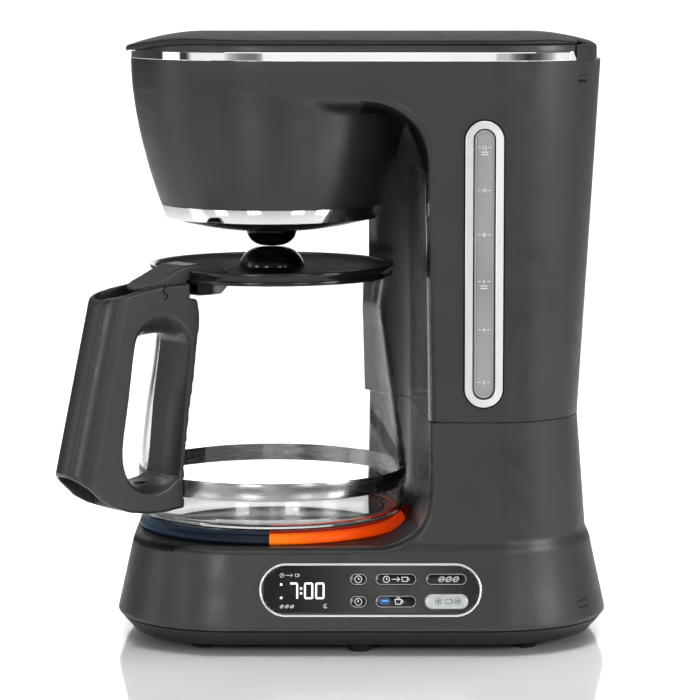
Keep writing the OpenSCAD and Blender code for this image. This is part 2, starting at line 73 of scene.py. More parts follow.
class Mat:
    """A procedural surface: two close tones, uneven gloss and a fine relief."""

    def __init__(self, name, tone, tone2=None, tone_scale=35.0, rough=0.4, rough_var=0.06,
                 rough_scale=90.0, grain=0.0, grain_scale=2600.0, stretch=None, metallic=0.0,
                 spec=0.5, coat=0.0, coat_rough=0.1, ior=1.5, transmission=0.0, emit=None,
                 emit_power=0.0, aniso=0.0, alpha=None, sub=0.0):
        m = bpy.data.materials.new(name)
        m.use_nodes = True
        nt = m.node_tree
        self.m, self.nt = m, nt
        b = nt.nodes["Principled BSDF"]
        self.b = b
        tc = nt.nodes.new("ShaderNodeTexCoord")
        self.co = tc.outputs["Object"]
        src = self.co
        if stretch:
            mp = nt.nodes.new("ShaderNodeMapping")
            mp.inputs["Scale"].default_value = stretch
            nt.links.new(self.co, mp.inputs["Vector"])
            src = mp.outputs["Vector"]
        self.src = src
        if tone2 is None:
            tone2 = [min(1.0, c * 1.12 + 0.001) for c in tone]
        n1 = self.noise(tone_scale, 3.0, self.co)
        ramp = nt.nodes.new("ShaderNodeValToRGB")
        ramp.color_ramp.elements[0].position = 0.35
        ramp.color_ramp.elements[1].position = 0.65
        ramp.color_ramp.elements[0].color = (*tone, 1)
        ramp.color_ramp.elements[1].color = (*tone2, 1)
        nt.links.new(n1, ramp.inputs["Fac"])
        self.color = ramp.outputs["Color"]
        nt.links.new(self.color, b.inputs["Base Color"])
        n2 = self.noise(rough_scale, 4.0, src)
        mr = nt.nodes.new("ShaderNodeMapRange")
        mr.inputs["From Min"].default_value = 0.3
        mr.inputs["From Max"].default_value = 0.7
        mr.inputs["To Min"].default_value = max(0.0, rough - rough_var)
        mr.inputs["To Max"].default_value = rough + rough_var
        nt.links.new(n2, mr.inputs["Value"])
        nt.links.new(mr.outputs["Result"], b.inputs["Roughness"])
        b.inputs["Metallic"].default_value = metallic
        b.inputs["Specular IOR Level"].default_value = spec
        b.inputs["IOR"].default_value = ior
        b.inputs["Transmission Weight"].default_value = transmission
        b.inputs["Coat Weight"].default_value = coat
        b.inputs["Coat Roughness"].default_value = coat_rough
        if aniso:
            b.inputs["Anisotropic"].default_value = aniso
        if emit is not None:
            b.inputs["Emission Color"].default_value = (*emit, 1)
            b.inputs["Emission Strength"].default_value = emit_power
        if grain > 0:
            n3 = self.noise(grain_scale, 2.0, src)
            bump = nt.nodes.new("ShaderNodeBump")
            bump.inputs["Strength"].default_value = grain
            bump.inputs["Distance"].default_value = 0.00012
            nt.links.new(n3, bump.inputs["Height"])
            nt.links.new(bump.outputs["Normal"], b.inputs["Normal"])

    def noise(self, scale, detail, vec):
        n = self.nt.nodes.new("ShaderNodeTexNoise")
        n.inputs["Scale"].default_value = scale
        n.inputs["Detail"].default_value = detail
        self.nt.links.new(vec, n.inputs["Vector"])
        return n.outputs["Fac"]


M = {
    "housing": Mat("satin_charcoal", srgb(40, 40, 41), srgb(43, 43, 44), rough=0.37, grain=0.16, grain_scale=2400, spec=0.6),
    "lidgrey": Mat("satin_charcoal_lid", srgb(43, 43, 44), srgb(46, 46, 47), rough=0.56, grain=0.14, grain_scale=2400, spec=0.38),
    "alcove": Mat("handle_charcoal", srgb(41, 41, 42), srgb(45, 45, 46), rough=0.36, grain=0.12, grain_scale=2600, spec=0.55),
    "alcovegloss": Mat("alcove_semi_gloss", srgb(36, 36, 37), srgb(39, 39, 40), rough=0.15, rough_var=0.03, spec=0.5),
    "alcoveedge": Mat("alcove_gloss_edge", srgb(34, 34, 35), srgb(37, 37, 38), rough=0.14, rough_var=0.03, spec=0.9, coat=1.0, coat_rough=0.1),
    # painted shade: a near-black copy of the housing for the alcove's ceiling and its bottom fillet, where shade falls
    # in the recess
    "alcovetop": Mat("alcove_painted_shade_ends", srgb(13, 13, 13), srgb(16, 16, 16), rough=0.45, rough_var=0.04, spec=0.2),
    # the bottom cover's own charcoal, set darker than the housing as painted shade for its place under the base
    "cover": Mat("cover_charcoal_painted_shade", srgb(36, 36, 37), srgb(39, 39, 40), rough=0.5, grain=0.16, grain_scale=2400, spec=0.3),
    "black": Mat("black_moulded", srgb(22, 22, 23), srgb(27, 27, 28), rough=0.34, grain=0.10, grain_scale=2600),
    "blacksatin": Mat("black_satin_lid", srgb(15, 15, 16), srgb(18, 18, 19), spec=0.1, rough=0.62, grain=0.10, grain_scale=2600),
    "gloss": Mat("gloss_black", srgb(12, 12, 13), srgb(15, 15, 16), rough=0.10, rough_var=0.03, grain=0.02, grain_scale=700),
    "panel": Mat("panel_gloss", srgb(9, 9, 10), srgb(12, 12, 13), rough=0.12, rough_var=0.03, grain=0.015, grain_scale=500),
    "keyblack": Mat("key_black", srgb(12, 12, 13), srgb(15, 15, 16), rough=0.16, grain=0.06, grain_scale=1800),
    # the silver key's glow is painted light; the key holds no lamp
    "keysilver": Mat("key_silver_painted_glow", srgb(188, 191, 193), srgb(200, 203, 204), rough=0.30, grain=0.05, grain_scale=2200, metallic=0.3, emit=srgb(204, 207, 208), emit_power=0.12),
    "chrome": Mat("bright_plating", srgb(240, 241, 243), srgb(246, 247, 248), rough=0.05, rough_var=0.02, rough_scale=60, metallic=1.0, grain=0.008, grain_scale=160),
    "ringchrome": Mat("ring_plating", srgb(242, 243, 244), srgb(246, 247, 248), rough=0.06, rough_var=0.02, rough_scale=60, metallic=1.0, grain=0.008, grain_scale=160),
    "steel": Mat("brushed_band", srgb(164, 164, 164), srgb(180, 180, 180), rough=0.24, rough_var=0.06, metallic=1.0, grain=0.10, grain_scale=60, stretch=(1.0, 1.0, 60.0)),
    "screw": Mat("screw_steel", srgb(150, 150, 152), srgb(170, 170, 172), rough=0.32, metallic=1.0, grain=0.05, grain_scale=900),
    "rubber": Mat("foot_rubber", srgb(20, 20, 20), srgb(26, 26, 26), rough=0.75, grain=0.25, grain_scale=1800, spec=0.3),
    "plate": Mat("plate_coating", srgb(14, 14, 15), srgb(19, 19, 20), rough=0.62, grain=0.15, grain_scale=3200, spec=0.12),
    "lidrim": Mat("carafe_lid_rim_gloss", srgb(22, 22, 23), srgb(26, 26, 27), rough=0.16, rough_var=0.03, grain=0.03, grain_scale=1800),
    # the outline print's glow is painted light
    "keyline": Mat("key_outline_print_painted_glow", srgb(172, 174, 176), srgb(182, 184, 186), rough=0.5, grain=0.05, grain_scale=2600, emit=srgb(176, 178, 180), emit_power=0.06),
    "alu": Mat("cast_aluminium", srgb(160, 162, 165), srgb(178, 180, 182), rough=0.45, metallic=1.0, grain=0.3, grain_scale=900),
    "ceramic": Mat("white_ceramic", srgb(226, 222, 210), srgb(233, 230, 220), rough=0.4, grain=0.1, grain_scale=900),
    "hose": Mat("silicone_hose", srgb(205, 206, 203), srgb(216, 217, 214), rough=0.5, grain=0.05, grain_scale=700),
    "white": Mat("white_moulded", srgb(222, 222, 220), srgb(230, 230, 228), rough=0.42, grain=0.08, grain_scale=2200),
    "tank": Mat("tank_plastic", srgb(196, 199, 202), srgb(208, 211, 213), rough=0.3, grain=0.06, grain_scale=900),
    "lens": Mat("frosted_window", srgb(150, 151, 153), srgb(164, 165, 167), tone_scale=28, rough=0.36, rough_var=0.08, grain=0.10, grain_scale=1500),
    # the print's glow is painted light; the marks hold no lamp
    "print": Mat("white_print_painted_glow", srgb(236, 237, 238), srgb(244, 245, 246), rough=0.5, grain=0.05, grain_scale=2600, emit=srgb(240, 241, 242), emit_power=0.12),
    "led": Mat("display_light", srgb(238, 241, 243), srgb(246, 248, 250), rough=0.4, emit=srgb(240, 245, 250), emit_power=0.95),
    "blueled": Mat("blue_light", srgb(70, 140, 230), srgb(90, 160, 240), rough=0.4, emit=srgb(80, 150, 240), emit_power=0.9),
    "display": Mat("display_body", srgb(14, 14, 15), srgb(20, 20, 21), rough=0.3, grain=0.03, grain_scale=700),
    "board": Mat("board_laminate", srgb(24, 84, 44), srgb(32, 98, 54), rough=0.38, grain=0.15, grain_scale=500),
    "seal": Mat("seal_rubber", srgb(84, 32, 30), srgb(98, 38, 35), rough=0.6, grain=0.1, grain_scale=900),
    "ringblue": Mat("ring_dark_blue", srgb(20, 40, 62), srgb(26, 48, 72), tone_scale=60, rough=0.4, spec=0.3, grain=0.06, grain_scale=1600),
    # painted light: the orange half glows though it holds no lamp, and its raised inner ridge takes a deeper copy of
    # the orange as painted shade
    "ringorange": Mat("ring_orange", srgb(250, 72, 4), srgb(255, 84, 8), tone_scale=60, rough=0.42, grain=0.06, grain_scale=1600, spec=0.2, emit=srgb(255, 66, 0), emit_power=0.42),
    "ringshade": Mat("ring_orange_painted_shade_glow", srgb(176, 32, 6), srgb(188, 40, 10), tone_scale=60, rough=0.42, grain=0.06, grain_scale=1600, spec=0.2, emit=srgb(190, 30, 4), emit_power=0.2),
    "ringnavy": Mat("ring_navy_deep", srgb(17, 27, 43), srgb(23, 35, 54), tone_scale=60, rough=0.4, grain=0.06, grain_scale=1600),
    "ringsteel": Mat("ring_steel_blue", srgb(40, 62, 90), srgb(50, 74, 104), tone_scale=60, rough=0.4, spec=0.3, grain=0.06, grain_scale=1600),
    # painted reflection: these platings are only partly metallic, so their white base colour stands in for bright
    # reflections
    "framebright": Mat("frame_plating_painted_reflection", srgb(246, 246, 247), srgb(250, 250, 251), rough=0.12, rough_var=0.03, metallic=0.55, grain=0.01, grain_scale=200),
    "rimbright": Mat("panel_rim_plating_painted_reflection", srgb(240, 241, 242), srgb(247, 247, 248), rough=0.22, rough_var=0.05, metallic=0.6, grain=0.02, grain_scale=400),
    "lensline": Mat("window_groove_line", srgb(205, 206, 207), srgb(216, 217, 218), rough=0.3, grain=0.05, grain_scale=1500),
    "printgrey": Mat("grey_print", srgb(92, 94, 97), srgb(104, 106, 109), rough=0.5, grain=0.05, grain_scale=2600),
    "printdim": Mat("display_sign_light", srgb(190, 193, 196), srgb(202, 205, 208), rough=0.5, grain=0.03, grain_scale=2600, emit=srgb(200, 204, 208), emit_power=0.35),
    "bluepool": Mat("blue_light_pool", srgb(38, 66, 92), srgb(52, 84, 114), tone_scale=300, rough=0.35, grain=0.03, grain_scale=1800, emit=srgb(50, 96, 140), emit_power=0.12),
    "groove": Mat("seam_shadow", srgb(15, 15, 15), srgb(19, 19, 19), rough=0.8, spec=0.2, grain=0.1, grain_scale=1500),
    "glass": Mat("clear_glass", (0.985, 0.99, 0.99), (0.995, 0.997, 0.997), rough=0.0, rough_var=0.0, transmission=1.0, ior=1.46, grain=0.01, grain_scale=45),
}


def fade(mat, x0, x1, cols, power):
    """Lets a surface's colour run along x between two places, in millimetres."""
    nt = mat.nt
    sep = nt.nodes.new("ShaderNodeSeparateXYZ")
    nt.links.new(mat.co, sep.inputs["Vector"])
    mr = nt.nodes.new("ShaderNodeMapRange")
    mr.inputs["From Min"].default_value, mr.inputs["From Max"].default_value = (x0 + SX) / 1000, (x1 + SX) / 1000
    nt.links.new(sep.outputs["X"], mr.inputs["Value"])
    ramp = nt.nodes.new("ShaderNodeValToRGB")
    el = ramp.color_ramp.elements
    while len(el) < len(cols):
        el.new(0.5)
    for i, c in enumerate(cols):
        el[i].position = i / (len(cols) - 1)
        el[i].color = (*srgb(*c), 1)
    nt.links.new(mr.outputs["Result"], ramp.inputs["Fac"])
    nt.links.new(ramp.outputs["Color"], mat.b.inputs["Base Color"])
    if power:
        nt.links.new(ramp.outputs["Color"], mat.b.inputs["Emission Color"])
        mat.b.inputs["Emission Strength"].default_value = power


# painted highlights: the orange runs lighter by the middle and deeper towards its right end, and the blue runs light
# at its left end and dark towards the middle
fade(M["ringorange"], AX, AX + 76, [(255, 128, 18), (255, 96, 10), (255, 78, 8), (252, 66, 12)], 0.36)
fade(M["ringblue"], AX - 76, AX, [(46, 76, 106), (20, 40, 60), (12, 28, 44), (10, 26, 42)], 0.0)


# ---------------------------------------------------------------- mesh helpers
def build(name, verts, faces, mat, body, node=(), sharp=38.0, loop_normals=None):
    me = bpy.data.meshes.new(name)
    me.from_pydata(to_row(verts).tolist(), [], [[int(i) for i in f] for f in faces])
    me.update()
    if loop_normals is None:
        bm = bmesh.new()
        bm.from_mesh(me)
        bmesh.ops.recalc_face_normals(bm, faces=bm.faces[:])
        bm.to_mesh(me)
        bm.free()
    me.polygons.foreach_set("use_smooth", [True] * len(me.polygons))
    if loop_normals is not None:
        me.normals_split_custom_set(loop_normals.tolist())
    elif sharp:
        me.set_sharp_from_angle(angle=math.radians(sharp))
    me.materials.append(M[mat].m if isinstance(mat, str) else mat)
    ob = bpy.data.objects.new(name, me)
    bpy.context.scene.collection.objects.link(ob)
    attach(ob, body)
    if node:
        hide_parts(*([node] if isinstance(node, str) else node))
    return ob


def merge(parts):
    """One (verts, faces) from several."""
    V, F, base = [], [], 0
    for v, f in parts:
        v = np.asarray(v, float).reshape(-1, 3)
        V.append(v)
        F += [tuple(i + base for i in q) for q in f]
        base += len(v)
    return np.vstack(V), F


def loft(loops, cap0=False, cap1=False, wrap=False):
    k = len(loops[0])
    V = np.vstack([np.asarray(l, float) for l in loops])
    F = []
    n = len(loops)
    for i in range(n if wrap else n - 1):
        for j in range(k):
            a, b = i * k + j, i * k + (j + 1) % k
            c, d = ((i + 1) % n) * k + (j + 1) % k, ((i + 1) % n) * k + j
            F.append((a, b, c, d))
    if cap0:
        F.append(tuple(range(k))[::-1])
    if cap1:
        F.append(tuple((n - 1) * k + i for i in range(k)))
    return V, F


def lathe(prof, seg=144, cx=AX, cy=0.0, closed=False, a0=0.0, a1=2 * PI):
    """Turns a profile of (r, z), drawn upwards on the outside, about a vertical line."""
    full = abs(a1 - a0 - 2 * PI) < 1e-9
    ang = a0 + (a1 - a0) * np.arange(seg if full else seg + 1) / seg
    prof = [tuple(p) for p in prof]
    k = len(ang)
    V, F, rows = [], [], []
    for r, z in prof:
        if r < 1e-6:
            rows.append([len(V)] * k)
            V.append((cx, cy, z))
        else:
            rows.append(list(range(len(V), len(V) + k)))
            V += [(cx + r * math.cos(a), cy + r * math.sin(a), z) for a in ang]
    n = len(rows)
    for i in range(n if closed else n - 1):
        p, q = rows[i], rows[(i + 1) % n]
        for j in range(k if full else k - 1):
            j2 = (j + 1) % k
            f = []
            for x in (p[j], p[j2], q[j2], q[j]):
                if x not in f:
                    f.append(x)
            if len(f) > 2:
                F.append(tuple(f))
    if closed and not full:
        F.append(tuple(r[0] for r in rows))
        F.append(tuple(r[-1] for r in rows)[::-1])
    return np.array(V, float), F


def fillet(pts, rad, n=6, closed=False):
    """Rounds the corners of a 2D polyline; rad is one radius or one for each point."""
    pts = [np.array(p, float) for p in pts]
    m = len(pts)
    if not hasattr(rad, "__len__"):
        rad = [rad] * m
    out = []
    for i in range(m):
        if not closed and i in (0, m - 1) or rad[i] <= 0:
            out.append(tuple(pts[i]))
            continue
        p, a, b = pts[i], pts[i - 1] - pts[i], pts[(i + 1) % m] - pts[i]
        la, lb = np.linalg.norm(a), np.linalg.norm(b)
        a, b = a / la, b / lb
        ang = math.acos(max(-1.0, min(1.0, float(a @ b))))
        if ang > PI - 1e-3 or ang < 1e-3:
            out.append(tuple(p))
            continue
        t = min(rad[i] / math.tan(ang / 2), 0.49 * la, 0.49 * lb)
        r = t * math.tan(ang / 2)
        c = p + (a + b) / np.linalg.norm(a + b) * (r / math.sin(ang / 2))
        s, e = p + a * t - c, p + b * t - c
        t0, t1 = math.atan2(s[1], s[0]), math.atan2(e[1], e[0])
        d = (t1 - t0 + PI) % (2 * PI) - PI
        out += [tuple(c + r * np.array([math.cos(t0 + d * k / n), math.sin(t0 + d * k / n)])) for k in range(n + 1)]
    return out


def tangent(a, b):
    """Angle of the outward normal of the outer line from disc a to disc b, anticlockwise."""
    dx, dy = b[0] - a[0], b[1] - a[1]
    return np.arctan2(dy, dx) - PI / 2 + np.arcsin(np.clip((a[2] - b[2]) / np.hypot(dx, dy), -1, 1))


def outline(discs, step=2.5, m=12):
    """(points, outward normals) round the hull of discs given anticlockwise."""
    P, N = [], []
    n = len(discs)
    ang = [float(tangent(discs[i], discs[(i + 1) % n])) for i in range(n)]
    for i in range(n):
        c, r = np.array(discs[i][:2], float), discs[i][2]
        a0, a1 = ang[i - 1], ang[i]
        span = (a1 - a0) % (2 * PI)
        k = max(2, int(math.degrees(span) / step))
        for j in range(k + 1):
            a = a0 + span * j / k
            d = np.array([math.cos(a), math.sin(a)])
            P.append(c + r * d)
            N.append(d)
        c2, r2 = np.array(discs[(i + 1) % n][:2], float), discs[(i + 1) % n][2]
        d = np.array([math.cos(a1), math.sin(a1)])
        s, e = c + r * d, c2 + r2 * d
        for j in range(1, m):
            P.append(s + (e - s) * j / m)
            N.append(d)
    return np.array(P), np.array(N)


def stadium(w, h, step=6.0, m=6):
    r = min(w, h) / 2
    if w > h:
        return outline([(-w / 2 + r, 0, r), (w / 2 - r, 0, r)], step, m)
    return outline([(0, -h / 2 + r, r), (0, h / 2 - r, r)], step, m)


def lift(P, z):
    P = np.asarray(P, float)
    return np.column_stack([P, np.full(len(P), z) if np.isscalar(z) else z])


# ---------------------------------------------------------------- distance fields
def hull_sd(x, y, discs):
    d = np.full(x.shape, -1e9)
    n = len(discs)
    ang = []
    for i in range(n):
        a, b = discs[i], discs[(i + 1) % n]
        ph = tangent(a, b)
        d = np.maximum(d, np.cos(ph) * (x - a[0]) + np.sin(ph) * (y - a[1]) - a[2])
        ang.append(ph)
    for i in range(n):
        cx, cy, r = discs[i]
        a = np.arctan2(y - cy, x - cx)
        inside = np.mod(a - ang[i - 1], 2 * PI) <= np.mod(ang[i] - ang[i - 1], 2 * PI)
        d = np.where(inside, np.maximum(d, np.hypot(x - cx, y - cy) - r), d)
    return d


def poly_sd(x, y, P):
    d = np.full(x.shape, 1e12)
    s = np.ones(x.shape)
    n = len(P)
    for i in range(n):
        (ax, ay), (bx, by) = P[i], P[i - 1]
        ex, ey = bx - ax, by - ay
        wx, wy = x - ax, y - ay
        t = np.clip((wx * ex + wy * ey) / (ex * ex + ey * ey), 0, 1)
        dx, dy = wx - ex * t, wy - ey * t
        d = np.minimum(d, dx * dx + dy * dy)
        c1, c2, c3 = y >= ay, y < by, ex * wy > ey * wx
        s = np.where((c1 & c2 & c3) | (~c1 & ~c2 & ~c3), -s, s)
    return s * np.sqrt(d)


def both(a, b, r):
    """Where both hold, with the edge between them rounded to r."""
    return np.minimum(-r, np.maximum(a, b)) + np.hypot(np.maximum(r + a, 0), np.maximum(r + b, 0))


def either(a, b, r):
    """Where either holds, with the inner corner filled to r."""
    return np.maximum(r, np.minimum(a, b)) - np.hypot(np.maximum(r - a, 0), np.maximum(r - b, 0))


def soft_min(a, b, k):
    h = np.maximum(k - np.abs(a - b), 0) / k
    return np.minimum(a, b) - h * h * k / 4


def grad(f, v, e=0.02):
    g = np.empty_like(v)
    for i in range(3):
        p, q = v.copy(), v.copy()
        p[:, i] += e
        q[:, i] -= e
        g[:, i] = (f(p[:, 0], p[:, 1], p[:, 2]) - f(q[:, 0], q[:, 1], q[:, 2])) / (2 * e)
    return g


def unit(g):
    return g / np.maximum(np.linalg.norm(g, axis=1, keepdims=True), 1e-9)


def settle(f, v, steps=5, reach=1.0):
    for _ in range(steps):
        g = grad(f, v)
        d = f(v[:, 0], v[:, 1], v[:, 2])[:, None]
        v = v - np.clip(d / np.maximum((g * g).sum(1, keepdims=True), 0.15), -reach, reach) * g
    return v


def nets(f, lo, hi, h):
    """Quads on the surface where f is 0."""
    lo, hi = np.array(lo, float), np.array(hi, float)
    n = np.ceil((hi - lo) / h).astype(int) + 1
    ax = [lo[i] + h * np.arange(n[i]) for i in range(3)]
    D = np.empty(tuple(n))
    for k in range(n[2]):
        X, Y = np.meshgrid(ax[0], ax[1], indexing="ij")
        D[:, :, k] = f(X, Y, np.full(X.shape, ax[2][k]))
    S = D < 0
    cnt = np.zeros(tuple(n - 1), np.int8)
    for i in (0, 1):
        for j in (0, 1):
            for k in (0, 1):
                cnt += S[i:n[0] - 1 + i, j:n[1] - 1 + j, k:n[2] - 1 + k]
    act = (cnt > 0) & (cnt < 8)
    idx = np.full(act.shape, -1, np.int64)
    cells = np.argwhere(act)
    idx[act] = np.arange(len(cells))
    pos = np.zeros((len(cells), 3))
    num = np.zeros(len(cells))
    corners = [(i, j, k) for i in (0, 1) for j in (0, 1) for k in (0, 1)]
    for a in corners:
        for b in corners:
            if sum(b) - sum(a) == 1 and all(q >= p for p, q in zip(a, b)):
                da = D[cells[:, 0] + a[0], cells[:, 1] + a[1], cells[:, 2] + a[2]]
                db = D[cells[:, 0] + b[0], cells[:, 1] + b[1], cells[:, 2] + b[2]]
                cross = (da < 0) != (db < 0)
                t = np.where(cross, da / np.where(cross, da - db, 1), 0)
                p = np.array(a)[None, :] + t[:, None] * (np.array(b) - np.array(a))[None, :]
                pos += np.where(cross[:, None], p, 0)
                num += cross
    V = lo + h * (cells + pos / num[:, None])
    F = []
    for d in range(3):
        u, w = (d + 1) % 3, (d + 2) % 3
        sl0, sl1 = [slice(None)] * 3, [slice(None)] * 3
        sl0[d], sl1[d] = slice(0, -1), slice(1, None)
        A, B = S[tuple(sl0)], S[tuple(sl1)]
        e = np.argwhere(A != B)
        ok = (e[:, u] > 0) & (e[:, w] > 0) & (e[:, u] < n[u] - 1) & (e[:, w] < n[w] - 1)
        e = e[ok]
        ins = A[e[:, 0], e[:, 1], e[:, 2]]
        q = []
        for du, dw in ((-1, -1), (0, -1), (0, 0), (-1, 0)):
            c = e.copy()
            c[:, u] += du
            c[:, w] += dw
            q.append(idx[c[:, 0], c[:, 1], c[:, 2]])
        q = np.stack(q, 1)
        q = np.where(ins[:, None], q, q[:, ::-1])
        F.append(q)
    F = np.vstack(F)
    return V, F[(F >= 0).all(1)]


def even_out(f, V, F, rounds=3):
    """Spreads the points of a net evenly over its surface."""
    for _ in range(rounds):
        s = np.zeros_like(V)
        c = np.zeros(len(V))
        for i in range(4):
            a, b = F[:, i], F[:, (i + 1) % 4]
            np.add.at(s, a, V[b])
            np.add.at(s, b, V[a])
            np.add.at(c, a, 1)
            np.add.at(c, b, 1)
        W = s / np.maximum(c, 1)[:, None]
        V = settle(f, V + 0.6 * (W - V), 2)
    return settle(f, V, 3)


def cut_planes(V, F, cuts, split=()):
    """Keeps what lies on the inner side of each plane (point, outward normal), cut clean."""
    me = bpy.data.meshes.new("tmp")
    me.from_pydata(V.tolist(), [], F.tolist() if hasattr(F, "tolist") else F)
    bm = bmesh.new()
    bm.from_mesh(me)
    for i, (co, no) in enumerate(list(cuts) + list(split)):
        bmesh.ops.bisect_plane(bm, geom=bm.verts[:] + bm.edges[:] + bm.faces[:], dist=1e-5,
                               plane_co=co, plane_no=no, clear_outer=i < len(cuts))
    bm.verts.ensure_lookup_table()
    bm.verts.index_update()
    V = np.array([v.co[:] for v in bm.verts], float)
    F = [tuple(v.index for v in f.verts) for f in bm.faces]
    bm.free()
    bpy.data.meshes.remove(me)
    return V, F


def compact(V, F):
    used = np.unique(np.concatenate([np.array(f) for f in F]))
    back = np.full(len(V), -1)
    back[used] = np.arange(len(used))
    return V[used], [tuple(back[list(f)]) for f in F], used


def shell(name, f, lo, hi, h, thick, cuts, drop, mat, body, node, inside=None, split=()):
    """A walled skin on the surface of f: cut at planes, opened where drop says, given a wall."""
    V, Q = nets(f, lo, hi, h)
    V = settle(f, V, 3)
    V = even_out(f, V, Q)
    if cuts:
        V, F = cut_planes(V, Q, cuts, split)
    else:
        F = [tuple(q) for q in Q]
    if drop is not None:
        mid = np.array([V[list(q)].mean(0) for q in F])
        gone = drop(mid)
        F = [q for q, g in zip(F, gone) if not g]
    V, F, _ = compact(V, F)
    N = unit(grad(f, V))
    k = len(V)
    edges = {}
    for q in F:
        for i in range(len(q)):
            a, b = q[i], q[(i + 1) % len(q)]
            edges[(a, b)] = edges.get((a, b), 0) + 1
    rim = [(a, b) for (a, b) in edges if (b, a) not in edges]
    W = np.vstack([V, V - N * thick])
    faces = list(F) + [tuple(i + k for i in q[::-1]) for q in F] + [(b, a, a + k, b + k) for a, b in rim]
    normals = [N[list(q)] for q in F] + [-N[list(q[::-1])] for q in F]
    for a, b in rim:
        e, d = V[a] - V[b], W[a + k] - V[a]
        n = np.cross(e, d)
        n = n / max(np.linalg.norm(n), 1e-9)
        normals.append(np.repeat(n[None, :], 4, 0))
    ob = build(name, W, faces, mat, body, node, loop_normals=np.vstack(normals))
    if inside is not None:
        for k in inside[1:]:
            ob.data.materials.append(M[k].m)
        mid = np.array([V[list(q)].mean(0) for q in F])
        pick = np.zeros(len(faces), np.int32)
        pick[:len(F)] = inside[0](mid)
        ob.data.polygons.foreach_set("material_index", pick)
    return ob


# ---------------------------------------------------------------- body shapes
def step(a, b, x):
    t = np.clip((x - a) / (b - a), 0, 1)
    return t * t * (3 - 2 * t)


def head_r(z):
    return 78.7 - 16.3 * np.power(np.clip((320 - z) / 79, 0, 1.2), 1.737)


def alcove(x, y, z):
    rho = np.hypot(x - AX, y)
    p = np.minimum(rho - 81.3, np.maximum(0.9926 * (x - 30.5) + 0.121 * y, y))
    p = np.minimum(p, np.maximum(x - 4.5, -y))
    p = np.maximum(p, 1.5 - np.hypot(x - 31.6, y - 1.0))
    xs = x + 0.031 * (z - 88) * step(80, 120, z)
    xr, zt, zb = 41.0, 297.6, 58.0
    q = np.maximum(np.maximum(xs - xr, z - zt), zb - z)
    q = np.where((z > zt - 32) & (xs > xr - 32), np.hypot(xs - xr + 32, z - zt + 32) - 32, q)
    q = np.where((z < zb + 34) & (xs > xr - 34), np.hypot(xs - xr + 34, z - zb - 34) - 34, q)
    return both(p, q, 10.0)


def upper(x, y, z):
    t = (z - 126.4) / 196.4
    hr = head_r(np.maximum(z, 241))
    ry = 33 - 12 * t
    # the front left corner comes out to the line from the head to the right end
    ph = tangent((AX, 0.0, hr), (72.4 + 0.3 * t, -ry, 48 + 12 * t))
    line = (np.cos(ph) * AX + hr - 10) / np.sin(ph) - 0.02
    k = step(278, 312, z)
    dy = -70 * (1 - k) + line * k
    body = hull_sd(x, y, [(AX, 0 * z, hr), (0 * z, dy, 10 + 0 * z), (72.4 + 0.3 * t, -ry, 48 + 12 * t),
                          (72.4 + 0.3 * t, ry, 48 + 12 * t), (37 - 4 * t, 50 + 0 * z, 31 + 0 * z)])
    out = both(body, -alcove(x, y, z), 9.0)
    rho = np.hypot(x - AX, y)
    slope = 16.3 * 1.737 / 79 * np.power(np.clip((320 - z) / 79, 0, 1.2), 0.737)
    head = np.maximum((rho - head_r(z)) / np.sqrt(1 + slope * slope), 232 - z)
    r = 0.3 + 5.5 * step(-48, -5, x)
    return either(out, head, r)


def lower(x, y, z):
    r = 66 - (z - 13.5) * 0.2217
    dish = 0.976 * hull_sd(x, y, [(-71.5 + 0 * z, -30.5 + 0 * z, r), (71.5 + 0 * z, -30.5 + 0 * z, r),
                                  (71.5 + 0 * z, 30.5 + 0 * z, r), (-71.5 + 0 * z, 30.5 + 0 * z, r)])
    dish = both(both(dish, z - 60.5, 5), 13.4 - z, 3.2)
    t = (z - 50) / 76.4
    col = hull_sd(x, y, [(0 * z, -76 + 6 * t, 10 + 0 * z), (72.4 + 0 * z, -32.5 - 0.5 * t, 54 - 6 * t),
                         (72.4 + 0 * z, 32.5 + 0.5 * t, 54 - 6 * t), (37 + 0 * z, 50 + 0 * z, 34 - 3 * t)])
    body = soft_min(dish, col, 4.0)
    cut = np.minimum(alcove(x, y, z), np.maximum(np.hypot(x - AX, y) - 77.5, 58 - z))
    return both(body, -cut, 3.5)


CELL = 1.9


def window_gap(p):
    dz = np.abs(p[:, 2] - 213) - 68
    d = np.hypot(p[:, 0] - 66.2, np.maximum(dz, 0)) - 7.6
    return (d < 0) & (p[:, 1] < -60)


def panel_gap(p):
    d = np.hypot(np.maximum(np.abs(p[:, 0] - 4.7) - 46.5, 0), p[:, 2] - 35.95) - 12.4
    return (d < 0) & (p[:, 1] < -60)


# Picks the alcove finish: 1 semi-gloss wall, 2 painted shade on the ceiling above z 262 and the bottom fillet below z
# 68, 3 glossy front edge
def in_alcove(p):
    inner = (np.abs(alcove(p[:, 0], p[:, 1], p[:, 2])) < 4.2) & ((p[:, 0] > 0) | (p[:, 2] < 68)) & (p[:, 1] > -77.5)
    return inner.astype(int) * np.where((p[:, 2] > 262) | (p[:, 2] < 68), 2, np.where(p[:, 1] < -70, 3, 1))


# the cuts at z 262 and 68 bound the painted shade at the alcove's top and bottom
SPLIT = [((0, -77.5, 0), (0, 1, 0)), ((0, -70, 0), (0, 1, 0)), ((0, 0, 262), (0, 0, 1)), ((0, 0, 68), (0, 0, 1))]


